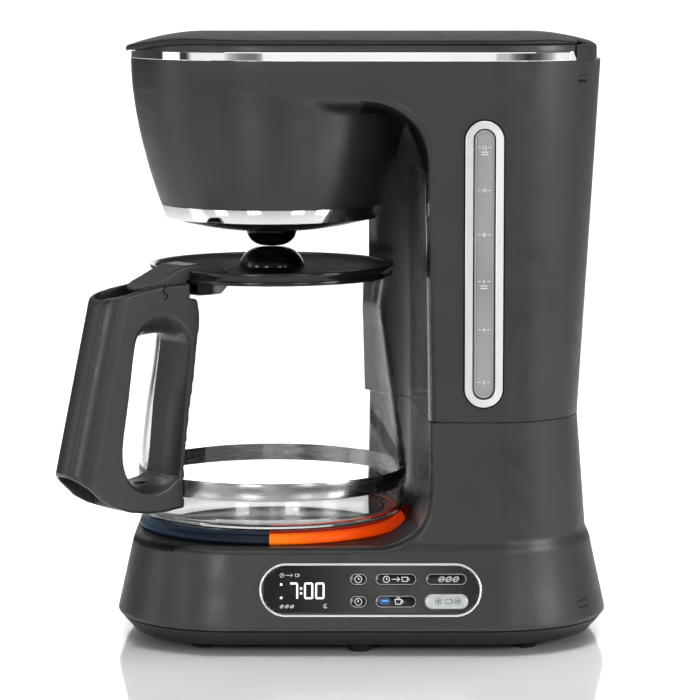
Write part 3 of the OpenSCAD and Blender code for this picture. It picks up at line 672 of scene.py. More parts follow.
shell("upper_housing_skin", upper, (-133, -84, 120), (137, 84, 330), CELL, 2.6,
      [((0, 0, 322.75), (0, 0, 1)), ((0, 0, 126.75), (0, 0, -1))],
      lambda p: window_gap(p) | ((np.hypot(p[:, 0] - AX, p[:, 1]) < 62.6) & (p[:, 2] < 241.2) & (p[:, 0] < 13)),
      "housing", "housing", "upper_housing", (in_alcove, "alcovegloss", "alcovetop", "alcoveedge"), SPLIT)
shell("base_housing_skin", lower, (-140, -99, 6), (140, 99, 134), CELL, 2.6,
      [((0, 0, 126.3), (0, 0, 1)), ((0, 0, 13.6), (0, 0, -1))],
      panel_gap, "housing", "housing", "base_housing", (in_alcove, "alcovegloss", "alcovetop", "alcoveedge"), SPLIT)


# ---------------------------------------------------------------- more shape helpers
C12, S12 = math.cos(math.radians(12.5)), math.sin(math.radians(12.5))
HC, HS = math.cos(math.radians(221)), math.sin(math.radians(221))


def spread(P, z):
    P = np.asarray(P, float).reshape(-1, 2)
    return P, np.broadcast_to(np.asarray(z, float), (len(P),))


def panel(P, z):
    P, z = spread(P, z)
    return np.column_stack([4.7 + P[:, 0], -91.52 + S12 * P[:, 1] - C12 * z, 35.95 + C12 * P[:, 1] + S12 * z])


def window(P, z):
    P, z = spread(P, z)
    return np.column_stack([66.2 + P[:, 0], -81.0 - z, 213.0 + P[:, 1]])


def grip(P, s):
    """Points (r, z) of the handle's plane, s to the near side."""
    P, s = spread(P, s)
    return np.column_stack([AX + HC * P[:, 0] - HS * s, HS * P[:, 0] + HC * s, P[:, 1]])


def rings(PN, prof, place, cap0=False, cap1=False, wrap=False):
    P, N = PN
    return loft([place(P - N * o, z) for o, z in prof], cap0, cap1, wrap)


def stroke(pts, w, z0, z1, place, closed=False):
    p = np.asarray(pts, float)
    n = len(p)
    loops = []
    for i in range(n):
        a = p[i] - p[i - 1] if closed or i > 0 else p[1] - p[0]
        b = p[(i + 1) % n] - p[i] if closed or i < n - 1 else p[i] - p[i - 1]
        a, b = a / max(np.linalg.norm(a), 1e-9), b / max(np.linalg.norm(b), 1e-9)
        m = np.array([-(a[1] + b[1]), a[0] + b[0]])
        m = m / max(np.linalg.norm(m), 1e-9)
        c = max(0.5, m @ np.array([-a[1], a[0]]))
        e = m * w / 2 / c
        loops.append(np.vstack([place([p[i] - e], z0), place([p[i] + e], z0), place([p[i] + e], z1), place([p[i] - e], z1)]))
    return loft(loops, not closed, not closed, closed)


def ring_pts(cx, cy, r, n=24, a0=0.0, a1=360.0):
    k = n if abs(a1 - a0) >= 360 else n + 1
    a = np.radians(a0 + (a1 - a0) * np.arange(k) / n)
    return np.column_stack([cx + r * np.cos(a), cy + r * np.sin(a)])


def spot(cx, cy, r, z0, z1, place, n=24):
    P = ring_pts(cx, cy, r, n)
    return loft([place(P, z0), place(P, z1)], True, True)


def holed(outer, holes, z0, z1, place):
    """A plate with holes between two heights."""
    bm = bmesh.new()
    for L in [outer] + holes:
        vs = [bm.verts.new((x, y, 0)) for x, y in L]
        for i in range(len(vs)):
            bm.edges.new((vs[i], vs[(i + 1) % len(vs)]))
    bm.verts.index_update()
    bmesh.ops.triangle_fill(bm, use_beauty=True, use_dissolve=False, edges=bm.edges[:])
    bm.verts.ensure_lookup_table()
    P = np.array([v.co[:2] for v in bm.verts], float)
    T = [tuple(v.index for v in f.verts) for f in bm.faces]
    bm.free()
    k = len(P)
    F = T + [tuple(i + k for i in t) for t in T]
    at = 0
    for L in [outer] + holes:
        m = len(L)
        F += [(at + i, at + (i + 1) % m, at + (i + 1) % m + k, at + i + k) for i in range(m)]
        at += m
    return np.vstack([place(P, z1), place(P, z0)]), F


def figures(text, size, cx, cy, z0, z1, place):
    cu = bpy.data.curves.new("figures_tmp", "FONT")
    cu.body, cu.size = text, size
    cu.align_x, cu.align_y = "CENTER", "CENTER"
    cu.extrude, cu.resolution_u = 0.05, 3
    ob = bpy.data.objects.new("figures_tmp", cu)
    bpy.context.scene.collection.objects.link(ob)
    me = bpy.data.meshes.new_from_object(ob.evaluated_get(bpy.context.evaluated_depsgraph_get()))
    V = np.array([v.co[:] for v in me.vertices], float)
    F = [tuple(p.vertices) for p in me.polygons]
    bpy.data.objects.remove(ob)
    bpy.data.curves.remove(cu)
    bpy.data.meshes.remove(me)
    mid = (V.min(0) + V.max(0)) / 2
    return place(V[:, :2] - mid[:2] + np.array([cx, cy]), np.where(V[:, 2] > 0, z1, z0)), F


def smooth(pts, n=6):
    """A soft curve through points."""
    p = np.asarray(pts, float)
    out = []
    for i in range(len(p) - 1):
        a, b = p[max(i - 1, 0)], p[i]
        c, d = p[i + 1], p[min(i + 2, len(p) - 1)]
        for k in range(n):
            t = k / n
            out.append(tuple(0.5 * (2 * b + (c - a) * t + (2 * a - 5 * b + 4 * c - d) * t * t + (3 * b - a - 3 * c + d) * t ** 3)))
    return out + [tuple(p[-1])]


def solid(name, f, lo, hi, h, mat, body, node=()):
    """A closed body where f is below 0."""
    V, Q = nets(f, lo, hi, h)
    V = settle(f, V, 3, 0.5)
    V = even_out(f, V, Q, 2)
    N = unit(grad(f, V))
    F = [tuple(q) for q in Q]
    return build(name, V, F, mat, body, node, loop_normals=np.vstack([N[list(q)] for q in F]))


# ---------------------------------------------------------------- base pieces
def base_outline(inset):
    r = 66 - inset
    return outline([(-71.5, -30.5, r), (71.5, -30.5, r), (71.5, 30.5, r), (-71.5, 30.5, r)], 3.0, 10)


loops = []
for o, z in [(12, 13.0), (3.4, 13.1), (2.9, 12.9), (2.85, 12.5), (3.3, 11.8), (9.0, 5.5), (9.6, 4.9), (10.5, 4.55), (30, 4.5)]:
    loops.append(lift(base_outline(o)[0], z))
V, F = loft(loops, True, True)
build("bottom_cover_skin", V, F, "cover", "housing", "bottom_cover")
feet = []
for x, y in [(-87.5, -68), (90, -68), (-1, -78), (-87.5, 68), (90, 68)]:
    feet.append(lathe([(0, 0.02), (5.4, 0.02), (6.2, 0.35), (6.5, 1.0), (6.9, 4.5), (5, 4.9), (0, 4.9)], 40, x, y))
V, F = merge(feet)
build("feet_rubber", V, F, "rubber", "housing", "rubber_feet")

# warming plate and its two-coloured ring
V, F = lathe([(0, 53.6), (59.5, 53.6), (59.5, 61.6), (63.9, 61.6), (64.3, 62.0), (64.2, 63.3), (63.5, 64.0), (62.6, 64.2),
              (50, 64.15), (49.4, 63.8), (48.4, 63.8), (47.8, 64.1), (30, 64.1), (29.4, 63.8), (28.4, 63.8), (27.8, 64.1), (0, 64.1)], 160)
build("warming_plate_disc", V, F, "plate", "housing", "warming_plate")
low = [(64.9, 60.6), (70.4, 60.6), (70.4, 63.1), (69.9, 63.9), (69.0, 64.2), (66.2, 64.2), (65.2, 63.9), (64.9, 63.2)]
top = [(59.8, 58.1), (75.0, 58.1), (75.5, 58.5), (75.7, 59.2), (75.4, 60.9), (74.4, 62.4), (72.6, 63.3), (70.6, 63.4), (70.5, 60.4), (59.8, 60.4)]
for name, a0, a1, inner, outer in (("ring_cold_half", PI / 2, 1.5 * PI, "ringsteel", "ringblue"), ("ring_hot_half", -PI / 2, PI / 2, "ringshade", "ringorange")):
    V, F = lathe(low, 90, closed=True, a0=a0, a1=a1)
    build(name + "_inner", V, F, inner, "housing", "warming_plate_ring")
    V, F = lathe(top, 90, closed=True, a0=a0, a1=a1)
    build(name + "_outer", V, F, outer, "housing", "warming_plate_ring")

# ---------------------------------------------------------------- head pieces
V, F = lathe(fillet([(58.8, 233.2), (60.2, 233.0), (62.5, 240.9), (59.8, 240.9), (58.8, 238)], [0.2, 0.6, 0.25, 0, 0], 4, True), 192, closed=True)
build("head_ring_bright", V, F, "ringchrome", "housing", "brew_head_ring", sharp=50)
prof = [(15.2 + 43.2 * i / 24, 225 + 8 * ((15.2 + 43.2 * i / 24) / 58.6) ** 2) for i in range(25)] + [(58.6, 234.0), (58.6, 240.4), (56.4, 240.4)]
prof += [(15.2 + 41.2 * i / 24, 227.4 + 8 * ((15.2 + 41.2 * i / 24) / 58.6) ** 2) for i in range(24, -1, -1)]
V, F = lathe(prof, 144, closed=True)
build("head_underside", V, F, "black", "housing", "brew_head_floor")
bowl = smooth([(0, 216.75), (6.0, 216.9), (9.6, 218.2), (12.4, 220.6), (14.0, 223.6), (14.4, 226.6)], 6) + [(14.1, 228.3), (13.4, 228.6), (5.6, 228.6), (5.6, 242.3), (3.5, 242.3), (3.5, 245.3), (3.2, 245.5), (0, 245.5)]
V, F = lathe(bowl, 96)
build("drip_stop_bowl", V, F, "gloss", "drip_stop", "drip_stop_plunger")


# ---------------------------------------------------------------- top: band, rim, lid
def lid_low(x):
    return np.interp(x, [-134, -127.7, -120, -110, -96], [326.0, 327.6, 329.0, 330.6, 331.6])


def lid_top(x, y):
    a, b = np.maximum(-90 - x, 0), np.maximum(x - 95, 0)
    return 337.5 - 0.00956 * np.power(a, 1.8) - 0.00956 * np.power(b, 1.8) - 3.2 * (y / 80) ** 2


def round_top(x_end, over=0.0):
    """Path along the top outline from the back right, round the left, to the front right."""
    P, N = outline([(AX, 0, 78.7 + over), (72.7, -21, 60 + over), (72.7, 21, 60 + over)], 2.0, 40)
    th = math.acos((x_end - 72.7) / 60)
    keep = ~((P[:, 0] > 72.7 + 60 * math.cos(th) - 0.3))
    i0 = int(np.argmin(keep))
    P, N, keep = np.roll(P, -i0, 0), np.roll(N, -i0, 0), np.roll(keep, -i0)
    P, N = P[keep], N[keep]
    ends = [np.array([math.cos(s * th), math.sin(s * th)]) for s in (1, -1)]
    pts = [np.array([72.7, s * 21]) + (60 + over) * d for s, d in zip((1, -1), ends)]
    return np.vstack([pts[:1], P, pts[1:]]), np.vstack([ends[:1], N, ends[1:]])


def corner(sign, x0, n=16):
    """Path round one right corner, from x0 to the hinge gap."""
    a0, a1 = math.acos((x0 - 72.7) / 60), math.asin((44.4 - 21) / 60)
    a = sign * np.linspace(a0, a1, n)
    N = np.column_stack([np.cos(a), np.sin(a)])
    return np.array([72.7, sign * 21]) + 60 * N, N


def along(P, N, section, slant=0.0):
    """Sweeps a section (inset, z) of each point along a path; slant leans both ends."""
    loops = []
    n = len(P)
    for i in range(n):
        sec = section(P[i])
        loop = np.array([[*(P[i] - N[i] * o), z] for o, z in sec])
        if slant and i in (0, n - 1):
            t = np.array([-N[i][1], N[i][0]]) * (1 if i == 0 else -1)
            loop[:, :2] += t * (slant * np.clip((loop[:, 2:3] - 322.8) / 4.8, 0, 1))
        loops.append(loop)
    return loft(loops, True, True)


def band_section(p):
    zt = min(327.55, float(lid_low(p[0])) - 0.75)
    return [(0.25, 322.85), (0.0, 323.15), (0.0, zt - 0.35), (0.25, zt), (2.4, zt), (2.4, 322.85)]


def rim_section(p):
    zt = float(lid_low(p[0])) - 0.14
    zb = min(327.65, zt - 0.25)
    m = min(0.35, (zt - zb) * 0.4)
    return [(0.2, zb), (0.2, zt - m), (0.2 + 0.3 * m, zt - 0.3 * m), (0.2 + m, zt), (4.3, zt), (4.6, zt - 0.3), (4.6, 322.0), (2.8, 322.0), (2.8, zb)]


def corner_section(p):
    return [(0.0, 322.85), (0.0, 330.4), (0.25, 330.95), (0.8, 331.15), (4.3, 331.15), (4.6, 330.9), (4.6, 322.0), (2.8, 322.0), (2.8, 322.85)]


P, N = round_top(116.5, 0.25)
V, F = along(P, N, band_section, 2.6)
build("top_band_bright", V, F, "chrome", "housing", "top_trim_band", sharp=25)
P, N = round_top(116.0)
parts = [along(P, N, rim_section)]
for sg in (1, -1):
    P, N = corner(sg, 116.9)
    parts.append(along(P, N, corner_section))
D, DN = outline([(AX, 0, 75.8), (72.7, -21, 57.1), (72.7, 21, 57.1)], 3.0, 8)
D = np.array([p if not (p[0] > 112.8) else (112.8, p[1]) for p in D])
mouth = fillet([(57, -54), (110, -54), (110, 54), (57, 54)], 14, 8, True)
parts.append(holed([tuple(p) for p in D if abs(p[0] - 112.8) > 1e-6 or abs(abs(p[1]) - 53) < 60], [list(map(tuple, ring_pts(AX, 0, 70.5, 96))), mouth, list(map(tuple, ring_pts(33, 58, 7.2, 32)))], 319.6, 322.0, lift))
for sg in (1, -1):
    sec = fillet([(113.2, 321.8), (126.4, 321.8), (126.4, 330.9), (113.2, 330.9)], [0, 0, 1.5, 1.5], 4, True)
    parts.append(loft([np.array([[x, sg * y, z] for x, z in sec]) for y in (44.4, 49.2)], True, True))
V, F = merge(parts)
build("top_frame_rim", V, F, "housing", "housing", "top_frame")


def lid(x, y, z):
    p = hull_sd(x, y, [(-53.6, 0, 78.8), (72.7, -21, 59.6), (72.7, 21, 59.6)])
    tail = np.maximum(np.abs(y) - 43.6, x - 129.4)
    top = (z - lid_top(x, y)) * 0.985
    plate = both(both(np.maximum(p, np.minimum(x - 117.6, tail)), top, 1.3), lid_low(x) - z, 0.25)
    block = both(both(np.maximum(p, tail), top, 1.3), np.maximum(323.4 - z, 119.4 - x), 0.5)
    return np.minimum(plate, block)


FINE = 1.15
solid("lid_skin", lid, (-136, -84, 320), (136, 84, 341), FINE, "lidgrey", "top_lid", "lid_shell")
# painted shadow: a thin dark strip just inside the lid's top edge stands for the shade between the lid top and its rim
P, N = outline([(-53.6, 0, 78.8), (72.7, -21, 59.6), (72.7, 21, 59.6)], 2.0, 40)
keep = ~(P[:, 0] > 116)
i0 = int(np.argmin(keep))
P, N, keep = np.roll(P, -i0, 0), np.roll(N, -i0, 0), np.roll(keep, -i0)
P, N = P[keep], N[keep]
loops = []
for p, m in zip(P, N):
    row = []
    for o, dz in ((0.24, -0.26), (0.10, -0.46), (1.2, -0.46), (1.2, -0.26)):
        q = p - m * o
        row.append((q[0], q[1], float(lid_top(p[0], p[1])) - 0.12 + dz))
    loops.append(np.array(row))
V, F = loft(loops, True, True)
build("lid_edge_shadow_line", V, F, "groove", "top_lid")

# ---------------------------------------------------------------- water window
V, F = rings(stadium(20.6, 155.8, 3.0, 24), [(0, 0.1), (0, 1.3), (0.3, 1.6), (3.85, 1.5), (4.15, 1.2), (4.15, -2.2), (3.25, -2.2), (3.25, 0.1)], window, wrap=True)
build("window_frame_bright", V, F, "framebright", "housing", "window_frame", sharp=25)
# painted shadow: dark rings round the frame and the lens, where shade falls in the gaps
V, F = rings(stadium(22.3, 157.5, 4.0, 24), [(0, -0.6), (0, 0.3), (0.83, 0.3), (0.83, -0.6)], window, wrap=True)
build("window_frame_shadow_gap", V, F, "groove", "housing")
V, F = rings(stadium(12.26, 147.46, 4.0, 24), [(0, -0.8), (0, 0.3), (0.55, 0.3), (0.55, -0.8)], window, wrap=True)
build("window_lens_shadow_gap", V, F, "groove", "housing")
V, F = rings(stadium(11.1, 146.3, 4.0, 24), [(0, -2.2), (0, -0.3), (0.2, 0.0), (1.1, 0.0), (1.3, 0.15), (1.45, 0.6), (1.75, 0.8)], window, True, True)
build("window_lens_frosted", V, F, "lens", "housing", "window_lens")
V, F = rings(stadium(9.6, 144.8, 4.0, 24), [(0, 0.02), (0, 0.08), (0.34, 0.08), (0.34, 0.02)], window, wrap=True)
build("window_lens_line", V, F, "lensline", "housing")
parts = []
for n, z in ((12, 276.6), (10, 253.4), (8, 229.4), (6, 204.1), (4, 177.7), (2, 148.9)):
    y = z - 213
    parts.append(figures(str(n), 2.9, 0, y, 0.8, 0.84, window))
    w = 1.75 if n > 9 else 1.25
    for sg in (-1, 1):
        parts.append(stroke([(sg * (w + 0.35), y), (sg * 3.5, y)], 0.3, 0.8, 0.84, window))
    if n in (12, 6):
        for k in (1, 2):
            parts.append(stroke([(-1.9, y - 1.1 - 1.35 * k), (1.9, y - 1.1 - 1.35 * k)], 0.42, 0.8, 0.84, window))
V, F = merge(parts)
build("window_marks", V, F, "print", "housing")

# ---------------------------------------------------------------- control panel
V, F = rings(stadium(121.4, 29.2, 4.0, 30), [(0, 0.05), (0, 0.5), (0.12, 0.75), (0.4, 0.9), (0.8, 0.9), (1.08, 0.75), (1.2, 0.5), (1.2, 0.05)], panel, wrap=True)
build("panel_rim_bright", V, F, "rimbright", "housing", "panel_bezel", sharp=50)
KEYS = [("hour", -6.65, 5.93, 9.42, 6.4), ("minute", -6.65, -6.27, 9.42, 6.56), ("delay", 13.86, 5.93, 22.55, 6.4),
        ("brew", 13.86, -6.2, 22.55, 6.7), ("strength", 41.3, 5.93, 22.4, 6.4), ("iced", 41.36, -6.2, 23.4, 7.8)]
holes = [[tuple(p + np.array([x, y])) for p in stadium(w + 0.6, h + 0.6, 6.0, 4)[0]] for _, x, y, w, h in KEYS]
V, F = holed([tuple(p) for p in stadium(119.1, 26.9, 4.0, 20)[0]], holes, -2.2, 0.0, panel)
build("panel_fascia_gloss", V, F, "panel", "housing", "control_fascia", sharp=20)


def at(place, x, y):
    return lambda P, z: place(np.asarray(P, float).reshape(-1, 2) + np.array([x, y]), z)


def clock(x, y, r, hands, pl, w=0.34):
    parts = [stroke(ring_pts(x, y, r, 24), w, 0.4, 0.44, pl, True)]
    parts.append(stroke([(x, y + r * 0.62), (x, y), (x + hands * r * 0.62, y)], w, 0.4, 0.44, pl))
    return parts


def bean(x, y, s, pl):
    a = np.linspace(0, 2 * PI, 20, endpoint=False)
    c, q = math.cos(0.6), math.sin(0.6)
    P = np.column_stack([1.25 * s * np.cos(a), 0.85 * s * np.sin(a)])
    P = np.column_stack([c * P[:, 0] - q * P[:, 1] + x, q * P[:, 0] + c * P[:, 1] + y])
    m = np.array([(-1.0, -0.1), (-0.35, 0.22), (0.35, -0.22), (1.0, 0.1)]) * s
    m = np.column_stack([c * m[:, 0] - q * m[:, 1] + x, q * m[:, 0] + c * m[:, 1] + y])
    return [stroke(P, 0.3, 0.4, 0.44, pl, True), stroke(m, 0.26, 0.4, 0.44, pl)]


def cup(x, y, s, pl, w=0.34):
    body = [(x - s, y + 0.7 * s), (x - 0.8 * s, y - 0.75 * s), (x + 0.8 * s, y - 0.75 * s), (x + s, y + 0.7 * s)]
    parts = [stroke(body, w, 0.4, 0.44, pl, True)]
    parts.append(stroke(ring_pts(x + 1.05 * s, y, 0.45 * s, 12, -100, 80), w, 0.4, 0.44, pl))
    return parts


def flake(x, y, r, pl, w=0.34):
    parts = []
    for a in (90, 210, 330):
        d = np.array([math.cos(math.radians(a)), math.sin(math.radians(a))])
        parts.append(stroke([np.array([x, y]) - d * r, np.array([x, y]) + d * r], w, 0.4, 0.44, pl))
        for e in (1, -1):
            t = np.array([x, y]) + d * r * 0.62 * e
            for b in (a + 45, a - 45):
                q = np.array([math.cos(math.radians(b)), math.sin(math.radians(b))]) * e
                parts.append(stroke([t, t + q * r * 0.36], w * 0.8, 0.4, 0.44, pl))
    return parts


for name, x, y, w, h in KEYS:
    pl = at(panel, x, y)
    body = name + "_key"
    silver = name == "iced"
    cap = rings(stadium(w, h, 5.0, 8), [(0, -2.6), (0, -0.15), (0.55, 0.3), (0.95, 0.4)] if silver else [(0, -2.6), (0, 0.15), (0.1, 0.32), (0.32, 0.4)], pl, True, True)
    flange = rings(stadium(w + 1.6, h + 1.6, 8.0, 4), [(0, -3.6), (0, -2.5)], pl, True, True)
    V, F = merge([cap, flange, spot(0, 0, 2.0, -4.5, -3.55, pl)])
    build(name + "_key_cap", V, F, "keysilver" if silver else "keyblack", body, name + "_button", sharp=30)
    parts = []
    if not silver:
        P, N = stadium(w, h, 6.0, 8)
        V, F = stroke(P - N * 0.4, 0.32, 0.38, 0.43, pl, True)
        build(name + "_key_outline", V, F, "keyline", body, sharp=60)
    if name == "hour":
        parts += clock(0, 0, 1.9, 1, pl, 0.3)
    elif name == "minute":
        parts += clock(0, 0, 1.9, -0.6, pl, 0.3)
    elif name == "delay":
        parts += clock(-5.2, 0, 1.7, 1, pl) + [stroke([(-2.2, 0), (2.0, 0)], 0.34, 0.4, 0.44, pl), stroke([(0.7, 1.2), (2.0, 0), (0.7, -1.2)], 0.34, 0.4, 0.44, pl)] + cup(4.8, 0, 1.6, pl)
    elif name == "brew":
        parts += cup(1.2, -0.1, 1.75, pl, 0.4) + [stroke([(a, 1.5), (a + 0.25, 2.0), (a, 2.5)], 0.28, 0.4, 0.44, pl) for a in (0.5, 1.2, 1.9)]
    elif name == "strength":
        parts += bean(-2.6, 0, 1.35, pl) + bean(1.3, 0, 1.35, pl) + bean(5.2, 0, 1.35, pl)
    else:
        parts += flake(-4.4, 0.1, 2.1, pl) + cup(1.2, 0, 1.7, pl) + flake(6.2, 0.1, 2.1, pl)
    V, F = merge(parts)
    build(name + "_key_marks", V, F, "printgrey" if silver else "print", body, sharp=60)
pl = at(panel, 13.86, -6.2)
V, F = rings(stadium(6.6, 3.9, 8.0, 4), [(0, 0.36), (0, 0.41), (0.5, 0.42)], at(panel, 7.6, -5.95), True, True)
build("brew_key_light_pool", V, F, "bluepool", "brew_key")
V, F = rings(stadium(3.6, 0.7, 8.0, 4), [(0, 0.4), (0, 0.46)], at(panel, 7.86, -5.85), True, True)
build("brew_key_light_bar", V, F, "blueled", "brew_key")

# clock figures, drawn with one pen width
LZ = (0.0, 0.05)
box = lambda x0, x1: fillet([(x0, -4.38), (x1, -4.38), (x1, 3.67), (x0, 3.67)], 0.7, 4, True)
parts = [stroke(fillet([(-43.8, 3.67), (-40.0, 3.67), (-40.0, -4.6)], 0.7, 4), 0.98, *LZ, panel),
         stroke(box(-35.75, -31.75), 0.98, *LZ, panel, True), stroke(box(-29.66, -25.6), 0.98, *LZ, panel, True)]
parts += [spot(-37.87, y, 0.68, *LZ, panel) for y in (0.92, -1.67)] + [spot(-48.72, y, 0.7, *LZ, panel) for y in (3.07, -4.18)]
V, F = merge(parts)
build("display_figures", V, F, "led", "housing", sharp=60)
parts = []
for x in (-48.4, -45.6, -42.8):
    parts += bean(x, -8.9, 0.8, lambda P, z: panel(P, np.asarray(z) - 0.4))
parts += clock(-48.3, 8.1, 1.05, 1, lambda P, z: panel(P, np.asarray(z) - 0.4), 0.28)
parts += [stroke([(-46.4, 8.1), (-42.6, 8.1)], 0.28, *LZ, panel), stroke([(-43.5, 8.9), (-42.6, 8.1), (-43.5, 7.3)], 0.28, *LZ, panel)]
parts += cup(-40.2, 8.1, 0.95, lambda P, z: panel(P, np.asarray(z) - 0.4), 0.28)
parts += [stroke(ring_pts(-24.6, -8.7, 1.0, 20, 60, 320), 0.3, *LZ, panel), stroke(ring_pts(-24.1, -8.4, 0.85, 16, 80, 300), 0.26, *LZ, panel)]
V, F = merge(parts)
build("display_signs", V, F, "printdim", "housing", sharp=60)

# ---------------------------------------------------------------- small marks on the right corner
def corner_mark(name, path, w, cx, cy, r_of):
    """A dark strip of painted shade along points (angle, z) round a right front corner, standing for a cut."""
    pts = np.asarray(path, float)
    k = np.linspace(0, len(pts) - 1, (len(pts) - 1) * 5 + 1)
    pts = np.column_stack([np.interp(k, np.arange(len(pts)), pts[:, i]) for i in (0, 1)])
    R = float(np.mean([r_of(z) for z in pts[:, 1]]))

    def place(P, o):
        P, o = spread(P, o)
        a = np.radians(P[:, 0] / R)
        r = r_of(P[:, 1]) + o
        return np.column_stack([cx + r * np.cos(a), cy - r * np.sin(a), P[:, 1]])

    V, F = stroke(np.column_stack([pts[:, 0] * R, pts[:, 1]]) , w, -0.4, 0.06, lambda P, o: place(P, o))
    build(name, V, F, "groove", "housing")


corner_mark("upper_vent_slot", [(40.6, 311.7), (33.0, 311.5)], 1.5, 72.68, -21.66, lambda z: 59.3 + 0.0611 * (z - 311.5))
corner_mark("upper_vent_line", [(39.8, 314.5), (32.4, 314.3)], 0.45, 72.69, -21.5, lambda z: 59.48 + 0.0611 * (z - 314.4))
corner_mark("base_snap_cut", [(42.0, 25.5), (33.6, 26.3), (32.3, 22.5), (40.2, 22.2), (41.4, 23.2)], 0.6, 71.5, -30.5, lambda z: 66 - (z - 13.5) * 0.2217)

# ---------------------------------------------------------------- carafe
GLASS = [(66.9, 201.2), (65.3, 189.3), (64.2, 179.7), (66.0, 167.6), (68.5, 148.2), (71.6, 129.2), (74.7, 105.0), (75.5, 93.5), (75.4, 80.0), (75.1, 70.8)]
side = smooth(GLASS, 7)
foot = fillet([(75.1, 70.8), (74.6, 65.6), (70.0, 64.75), (64.0, 64.75), (62.0, 65.7), (0, 65.7)], [0, 4.0, 2, 1, 1, 0], 6)
inner = [(r - 2.4, z) for r, z in side]
floor_in = fillet([(72.7, 70.8), (72.0, 68.1), (60, 68.0), (0, 68.0)], [0, 2.2, 0, 0], 6)
rim = [(66.3, 201.75), (65.7, 201.9), (65.1, 201.75)]
prof = foot[::-1][:-1] + side[::-1] + rim + inner + floor_in[1:]
V, F = lathe(prof, 160)
build("carafe_glass_clear", V, F, "glass", "carafe", "carafe_glass", sharp=60)
V, F = lathe([(75.66, 82.2), (75.9, 82.0), (76.25, 82.1), (76.4, 82.45), (76.4, 91.35), (76.25, 91.7), (75.9, 91.8), (75.66, 91.6)], 192, closed=True)
build("carafe_band_steel", V, F, "steel", "carafe", "carafe_band", sharp=50)
V, F = lathe([(0, 202), (61.8, 202), (61.8, 199.5), (63, 199.5), (63, 201.9), (66.4, 201.95), (66.4, 206.0), (63.6, 205.2), (58, 204.5), (30, 204.2), (19.5, 205.2), (9.2, 205.4), (9.2, 202)], 176)
build("carafe_lid_disc", V, F, "blacksatin", "carafe", "carafe_lid", sharp=50)
V, F = lathe([(66.2, 202.0), (67.1, 201.6), (67.1, 200.0), (67.5, 199.7), (67.9, 199.8), (68.2, 200.5), (68.2, 201.9), (67.75, 202.4), (67.95, 203.3), (68.7, 204.4),
              (69.1, 205.4), (69.15, 206.2), (68.85, 206.7), (68.2, 206.9), (67.4, 206.7), (66.2, 206.05)], 176, closed=True)
build("carafe_lid_rim", V, F, "lidrim", "carafe", "carafe_lid", sharp=50)
dome = smooth([(18.4, 205.35), (17.6, 208.2), (15.4, 211.7), (11.8, 214.6), (7.0, 216.1), (0, 216.4)], 7)
V, F = lathe([(0, 209), (7, 207), (7, 196), (9, 196), (9, 205.35)] + dome, 96)
build("carafe_lid_knob", V, F, "gloss", "carafe", "carafe_lid_dome")
LEVER = [(34, 204.2), (42, 206.4), (52, 208.9), (61, 210.4), (70, 210.0), (78, 207.4), (86, 203.9), (94, 200.9), (101, 199.0), (101, 196.8), (93, 198.4), (91.4, 197.5), (91.4, 186.8), (84.6, 186.8), (84.6, 198.6), (70, 199.4), (68.8, 201.9), (34, 203.0)]


def turned(x, y):
    dx = x - AX
    return HC * dx + HS * y, -HS * dx + HC * y


def lever(x, y, z):
    r, s = turned(x, y)
    side = np.abs(s) - 10.8
    end = np.hypot(np.maximum(r - 89.5, 0), s) - 10.9
    start = np.hypot(np.minimum(r - 46, 0), s) - 11
    return both(poly_sd(r, z, LEVER), np.maximum(np.maximum(side, end), start), 1.1)


solid("carafe_lid_lever", lever, (-137, -84, 184), (-70, 4, 213), 0.9, "alcove", "carafe", "carafe_lid")

BLOCK = [(35.5, 202.3), (61.2, 202.3), (61.2, 193.4), (60.6, 192.8), (45.6, 192.8), (44.4, 193.3), (36.6, 200.4)]


def block(x, y, z):
    r, s = turned(x, y)
    return both(poly_sd(r, z, BLOCK), np.abs(s) - 11.0, 0.8)


solid("carafe_lid_block", block, (-107, -52, 190), (-62, -10, 205), 0.9, "gloss", "carafe", "carafe_lid")


def ring_curve(pts, n=3):
    """A soft closed curve through points."""
    return smooth([pts[-1]] + pts + pts[:2], n)[n:n + n * len(pts)]


HOLE_NEAR = [(87.5, 182.6), (97.9, 181.2), (104.7, 175.7), (107.5, 169.3), (111.9, 139.5), (116.3, 112.5), (114.4, 98.6), (108.3, 90.2),
             (98.7, 86.4), (88.4, 87.5), (80.7, 92.2), (76.4, 97.3), (72.6, 136.0), (69.9, 166.3), (73.0, 174.9), (79.2, 180.4)]
HOLE_FAR = [(86, 172.5), (97, 171.5), (103.2, 168.5), (107, 164), (111.9, 139.5), (116.3, 112.5), (113.9, 100.5), (107.5, 93.6),
            (98.5, 91), (89.5, 91.6), (83, 93.5), (79.5, 98), (75.4, 133.4), (70.6, 163), (71.5, 169), (76.5, 172)]
HOLE_NEAR, HOLE_FAR = ring_curve(HOLE_NEAR), ring_curve(HOLE_FAR)
SIDE = [(56, 190.2), (69.2, 192.2), (69.2, 200.6), (88, 200.5), (104.7, 198.3), (121.5, 195.0), (124.0, 193.2), (125.4, 190.4),
        (148.2, 100.6), (146.2, 98.6), (138.1, 92.3), (130.8, 85.7), (122.7, 81.3), (110.7, 76.9), (98.9, 75.1), (86.4, 74.8), (76, 75.7), (56, 76.4)]
HOLLOW = [(66, 215), (116.6, 215), (122.2, 192.8), (146.2, 97), (155.5, 60), (116, 60), (118.4, 98), (119.4, 112.5), (115, 139.5), (110.8, 170), (104, 186.5), (84, 187), (84, 196.6), (66, 196.6)]
GR = np.array([p[0] for p in side[::-1]])
GZ = np.array([p[1] for p in side[::-1]])


